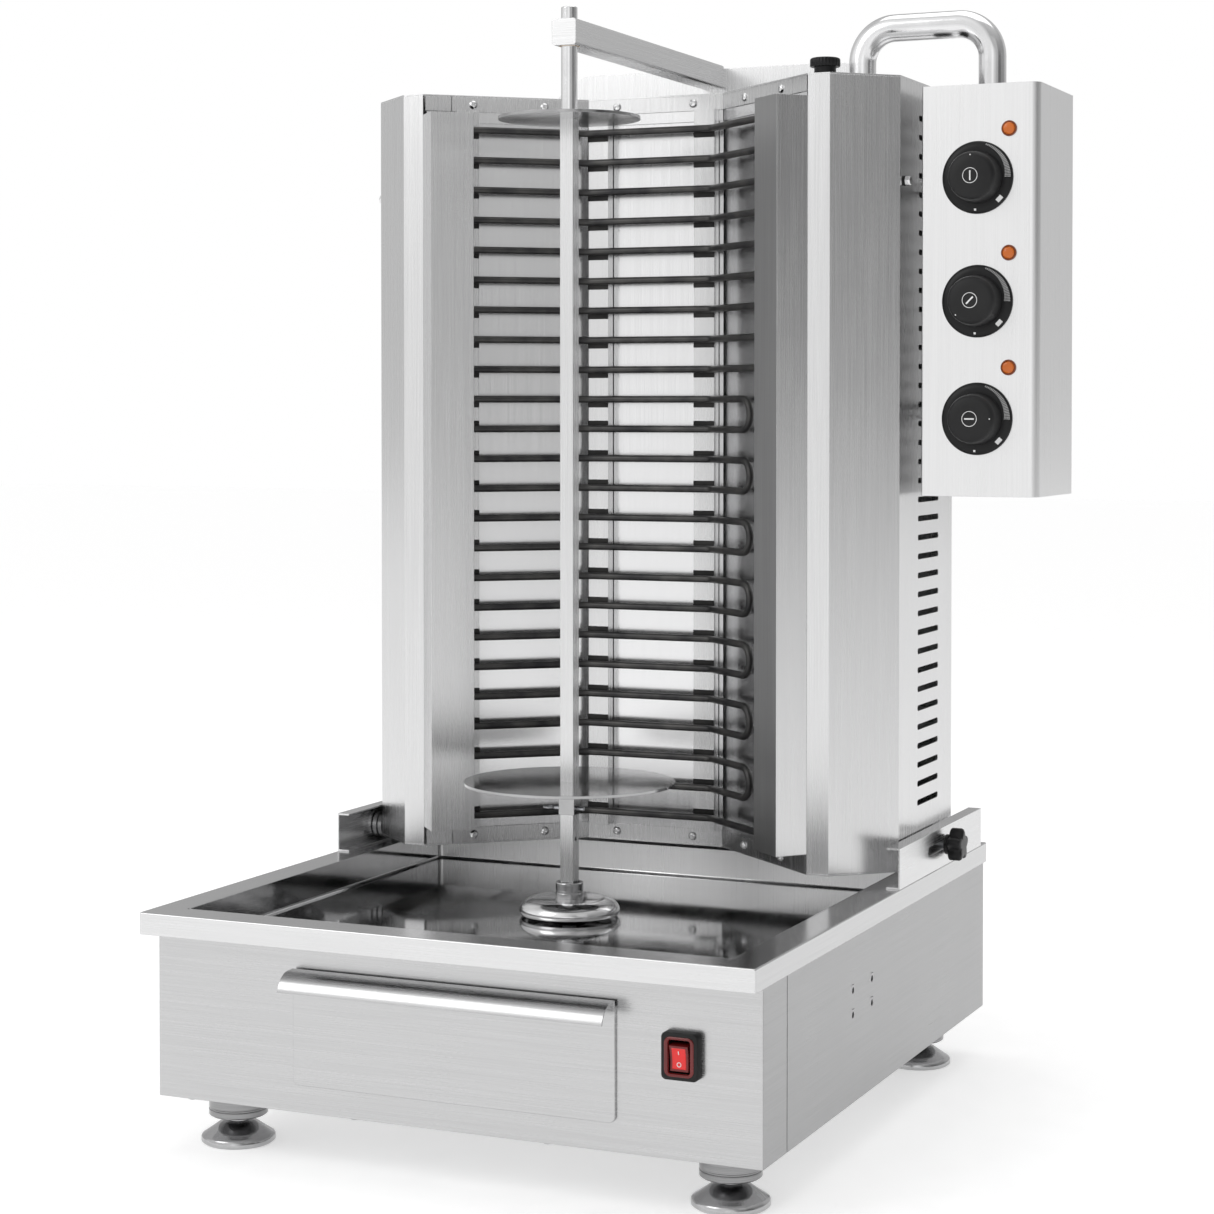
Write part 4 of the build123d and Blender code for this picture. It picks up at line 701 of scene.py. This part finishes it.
# ---------------------------------------------------------------- levelling feet
collars = Shape()
for foot in ("foot_front_left", "foot_front_right", "foot_rear_left", "foot_rear_right"):
    low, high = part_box(foot)
    spot = Vector((centre(foot).x, centre(foot).y, 0))
    radius = (high.x - low.x) / 2
    turned = Shape()
    turned.lathe(
        [(0, 0), (radius * 0.94, 0), (radius, 1.8 * MM), (radius, 5.2 * MM), (radius * 0.975, 6.6 * MM),
         (radius * 0.92, 7.8 * MM), (radius * 0.72, 11.8 * MM), (radius * 0.49, 16.6 * MM),
         (12 * MM, 17.6 * MM), (9 * MM, 18.3 * MM), (9 * MM, 22.4 * MM), (5.9 * MM, 22.4 * MM),
         (5.9 * MM, high.z - 0.5 * MM), (0, high.z - 0.2 * MM)],
        spot, UP, 64,
    )
    turned.finish(f"{foot}_turning", FOOT_STEEL, foot, foot, crease=30)
for collar in solids("foot_collars"):
    low, high = solid_box(collar)
    mid = (low + high) / 2
    radius = (high.x - low.x) / 2
    collars.lathe(
        [(6.3 * MM, 0), (radius - 1 * MM, 0), (radius, 1 * MM), (radius, 5 * MM),
         (radius - 0.7 * MM, 5.6 * MM), (radius - 0.7 * MM, 6.6 * MM), (radius, 7.2 * MM),
         (radius, 20.9 * MM), (radius - 0.6 * MM, 21.9 * MM), (6.3 * MM, 21.9 * MM)],
        Vector((mid.x, mid.y, low.z)), UP, 64,
    )
collars.finish("foot_collar_turnings", COLLAR_STEEL, "base", "foot_collars", crease=30)

# ---------------------------------------------------------------- knobs and cable gland
KNOB_LOW, KNOB_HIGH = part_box("clamp_knob")
HUB_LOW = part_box("rails")[1].x
clamp_spot = Vector((0, (KNOB_LOW.y + KNOB_HIGH.y) / 2, 0))
clamp_points = np.array([v.co for v in NODES["clamp_knob"].data.vertices], float)
stud_points = clamp_points[clamp_points[:, 0] < HUB_LOW]
clamp_spot.z = float((stud_points[:, 2].min() + stud_points[:, 2].max()) / 2)
clamp_spot.y = float((stud_points[:, 1].min() + stud_points[:, 1].max()) / 2)
hub_x = HUB_LOW + 1 * MM
star = Shape()
layers = ((4.2, 0.80), (4.9, 0.9), (6.2, 0.96), (14.6, 0.96), (16.2, 0.9), (16.9, 0.8), (17.0, 0.55))
steps = 120
star_verts = []
for out_mm, share in layers:
    for i in range(steps):
        a = 2 * pi * i / steps + pi / 2
        reach = (13.1 + 2.7 * cos(5 * (a - pi / 2))) * share * MM
        star_verts.append(Vector((hub_x + out_mm * MM, clamp_spot.y + reach * cos(a),
                                  clamp_spot.z + reach * sin(a))))
star.add(star_verts, rings_skin(len(layers), steps))
star.lathe([(0, 0.1 * MM), (8.6 * MM, 0.1 * MM), (9 * MM, 0.6 * MM), (9 * MM, 3.6 * MM),
            (8.4 * MM, 4.3 * MM), (0, 4.3 * MM)],
           Vector((hub_x, clamp_spot.y, clamp_spot.z)), RIGHT, 40)
star.finish("clamp_star", PLASTIC, "clamp", "clamp_knob", crease=35)
stud = Shape()
stud_long = hub_x - KNOB_LOW.x + 0.3 * MM
stud.lathe([(0, 0), (3.5 * MM, 0), (3.9 * MM, 0.8 * MM), (3.9 * MM, stud_long), (0, stud_long)],
           Vector((KNOB_LOW.x, clamp_spot.y, clamp_spot.z)), RIGHT, 24)
stud.finish("clamp_stud", ZINC, "clamp")

LOCK_LOW, LOCK_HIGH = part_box("lock_knob")
lock_spot = Vector((centre("lock_knob").x, centre("lock_knob").y, 0))
lock_r = (LOCK_HIGH.x - LOCK_LOW.x) / 2
TOP_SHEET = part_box("tower_ends")[1].z
lock = Shape()
lock.lathe([(0, 0.4 * MM), (9.6 * MM, 0.4 * MM), (9.8 * MM, 0.9 * MM), (9.4 * MM, 5 * MM),
            (9.7 * MM, 7.4 * MM), (0, 7.4 * MM)],
           Vector((lock_spot.x, lock_spot.y, TOP_SHEET)), UP, 48)
cap_z = LOCK_HIGH.z - 8 * MM
rib_count = 28
rib_steps = rib_count * 6
cap_layers = ((0.1, 0.94, 0.0), (0.8, 0.985, 0.5), (6.2, 0.985, 0.5), (7.3, 0.94, 0.3),
              (7.8, 0.85, 0.0), (8.0, 0.6, 0.0))
cap_verts = []
for high_mm, share, rib in cap_layers:
    for i in range(rib_steps):
        a = 2 * pi * i / rib_steps
        reach = lock_r * share - rib * MM * (0.5 + 0.5 * cos(rib_count * a))
        cap_verts.append(Vector((lock_spot.x + reach * cos(a), lock_spot.y + reach * sin(a),
                                 cap_z + high_mm * MM)))
lock.add(cap_verts, rings_skin(len(cap_layers), rib_steps))
lock.finish("lock_knob_moulding", PLASTIC, "lock", "lock_knob", crease=40)

GLAND_LOW, GLAND_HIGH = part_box("cable_gland")
gland_spot = Vector((centre("cable_gland").x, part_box("body_shell")[1].y, centre("cable_gland").z))
gland_out = GLAND_HIGH.y - gland_spot.y
gland = Shape()
nut_r = (GLAND_HIGH.z - GLAND_LOW.z) / 2 / sin(pi / 3)
gland.prism([clock(2 * k + 1, nut_r * 0.99) for k in range(6)], gland_spot + BACK * 0.05 * MM,
            LEFT, UP, 4.9 * MM, 0.7 * MM)
gland.lathe([(4.6 * MM, -7 * MM), (7.9 * MM, -7 * MM), (7.9 * MM, 5 * MM), (9.8 * MM, 5.1 * MM),
             (9.8 * MM, 9.6 * MM), (9.2 * MM, 11.6 * MM), (7.6 * MM, 13.4 * MM),
             (6.2 * MM, gland_out - 0.1 * MM), (4.6 * MM, gland_out - 0.1 * MM), (4.6 * MM, -7 * MM)],
            gland_spot, BACK, 48)
gland.finish("cable_gland_moulding", PLASTIC, "base", "cable_gland", crease=35)

# ---------------------------------------------------------------- second looks on CAD pieces
def paint_holder_shade(node, shade_look, depth):
    """Give the outermost plates of each holder channel a near-black look: painted shade on these plates.
    """
    data = NODES[node].data
    data.materials.append(shade_look)
    where = np.array([polygon.center for polygon in data.polygons], float)
    middle = centre(node).x
    for group in solids(node):
        low, high = group.min(0), group.max(0)
        inside = np.all((where > low - 1e-5) & (where < high + 1e-5), axis=1)
        thin = np.linalg.svd(group[:, :2] - group[:, :2].mean(0), full_matrices=False)[2][-1]
        facing = -thin if thin[1] > 0 else thin
        if abs(facing[1]) < 0.3:
            facing = np.array((middle - group[:, 0].mean(), 0.0))
        away = where[:, :2] @ facing
        face = (group[:, :2] @ facing).max()
        for index in np.nonzero(inside & (away > face - depth))[0]:
            data.polygons[index].material_index = 1


# Painted shade: the outer faces of the holder plates go near black.
paint_holder_shade("element_holders", HOLDER_SHADE, 1.0 * MM)

def paint(node, look, chosen):
    """Give the faces picked by a test on their middle and their normal another look."""
    data = NODES[node].data
    data.materials.append(look)
    for polygon in data.polygons:
        if chosen(polygon.center, polygon.normal):
            polygon.material_index = len(data.materials) - 1


TRAY_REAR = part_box("drip_tray")[1].y - 20 * MM
paint("drip_tray", STEEL_BOX, lambda middle, normal: middle.y > TRAY_REAR)
# The front panel's side returns take the darker side steel too: painted shade on the faces turned away
# from the lights.
paint("front_panel", STEEL_SIDE_SHADE, lambda middle, normal: abs(normal.x) > 0.7)
# The rim's front faces take lighter steel than the rest of the rim: a painted highlight on the faces
# turned to the lights.
paint("top_frame", STEEL_H, lambda middle, normal: normal.y < -0.7)
# The right wing's faces turned towards the tower take the dark copy: painted shade.
paint("wing_shields", STEEL_WING_SHADE, lambda middle, normal: middle.x > AXLE.x and normal.x < -0.1)


# ---------------------------------------------------------------- studio
def studio_floor():
    """Pale floor under the machine."""
    bpy.ops.mesh.primitive_plane_add(size=30, location=(0, 0, 0))
    floor = bpy.context.object
    floor.name = "studio_floor"
    floor.data.materials.append(
        moulded("pale_floor", (0.8, 0.8, 0.8), (0.84, 0.84, 0.84), (0.7, 0.8), 60.0, 1e-5,
                Emission_Color=(1, 1, 1, 1), Emission_Strength=0.45)
    )


def softbox(name, spot, aim, size, power):
    """Rectangular soft light aimed at a point."""
    light = bpy.data.lights.new(name, "AREA")
    light.shape = "RECTANGLE"
    light.size, light.size_y = size
    light.energy = power
    lamp = bpy.data.objects.new(name, light)
    lamp.location = spot
    lamp.rotation_euler = (Vector(aim) - Vector(spot)).to_track_quat("-Z", "Y").to_euler()
    bpy.context.scene.collection.objects.link(lamp)


def studio_world(backdrop, base, panels):
    """Even white backdrop for the eye; the metal reflects a grey studio with soft bright panels."""
    world = bpy.data.worlds.new("studio")
    bpy.context.scene.world = world
    world.use_nodes = True
    tree = world.node_tree
    tree.nodes.clear()
    direction = tree.nodes.new("ShaderNodeTexCoord").outputs["Generated"]
    level = None
    for aim, inner, outer, strength in panels:
        dot = tree.nodes.new("ShaderNodeVectorMath")
        dot.operation = "DOT_PRODUCT"
        dot.inputs[1].default_value = Vector(aim).normalized()
        tree.links.new(direction, dot.inputs[0])
        ramp = tree.nodes.new("ShaderNodeMapRange")
        ramp.interpolation_type = "SMOOTHSTEP"
        ramp.inputs["From Min"].default_value = cos(radians(outer))
        ramp.inputs["From Max"].default_value = cos(radians(inner))
        ramp.inputs["To Max"].default_value = strength
        tree.links.new(dot.outputs["Value"], ramp.inputs["Value"])
        if level is None:
            ramp.inputs["To Min"].default_value = 0.0
            level = ramp.outputs["Result"]
        else:
            level = total(tree, level, ramp.outputs["Result"], 1.0)
    sky = tree.nodes.new("ShaderNodeMath")
    sky.operation = "ADD"
    sky.inputs[1].default_value = base
    tree.links.new(level, sky.inputs[0])
    seen = tree.nodes.new("ShaderNodeBackground")
    seen.inputs["Strength"].default_value = backdrop
    around = tree.nodes.new("ShaderNodeBackground")
    tree.links.new(sky.outputs["Value"], around.inputs["Strength"])
    for background in (seen, around):
        background.inputs["Color"].default_value = (1, 1, 1, 1)
    rays = tree.nodes.new("ShaderNodeLightPath")
    choice = tree.nodes.new("ShaderNodeMixShader")
    tree.links.new(rays.outputs["Is Camera Ray"], choice.inputs["Fac"])
    tree.links.new(around.outputs["Background"], choice.inputs[1])
    tree.links.new(seen.outputs["Background"], choice.inputs[2])
    out = tree.nodes.new("ShaderNodeOutputWorld")
    tree.links.new(choice.outputs["Shader"], out.inputs["Surface"])


def camera():
    """Camera in front, to the right and level with the tower, with a slight downward shift."""
    data = bpy.data.cameras.new("camera")
    data.sensor_width = 36.0
    data.lens = 78.02
    data.shift_y = -0.115
    eye = bpy.data.objects.new("camera", data)
    eye.location = (0.89418, -2.10766, 0.61124)
    eye.rotation_euler = (radians(90 - 1.3166), 0, radians(23.9536))
    bpy.context.scene.collection.objects.link(eye)
    bpy.context.scene.camera = eye


studio_floor()
studio_world(
    backdrop=1.0,
    base=0.34,
    panels=(
        ((-0.5, -0.86, 0.1), 30, 70, 0.62),
        ((0.97, -0.22, 0.0), 5, 20, -0.16),
        ((0.4, -0.92, 0.05), 6, 22, 0.4),
        ((0.3, 0.95, 0.12), 12, 42, 0.28),
        ((-0.93, 0.35, 0.1), 20, 50, 0.3),
        ((0.0, 0.0, 1.0), 20, 70, 0.3),
    ),
)
softbox("key_light", (-1.6, -2.2, 2.2), (0, 0, 0.4), (1.6, 1.6), 16)
softbox("fill_light", (2.2, -1.6, 1.6), (0, 0, 0.4), (1.2, 1.8), 1.5)
softbox("top_light", (0.2, 0.4, 2.6), (0, 0, 0.3), (1.8, 1.8), 12)
camera()
bpy.context.scene.view_settings.view_transform = "Standard"
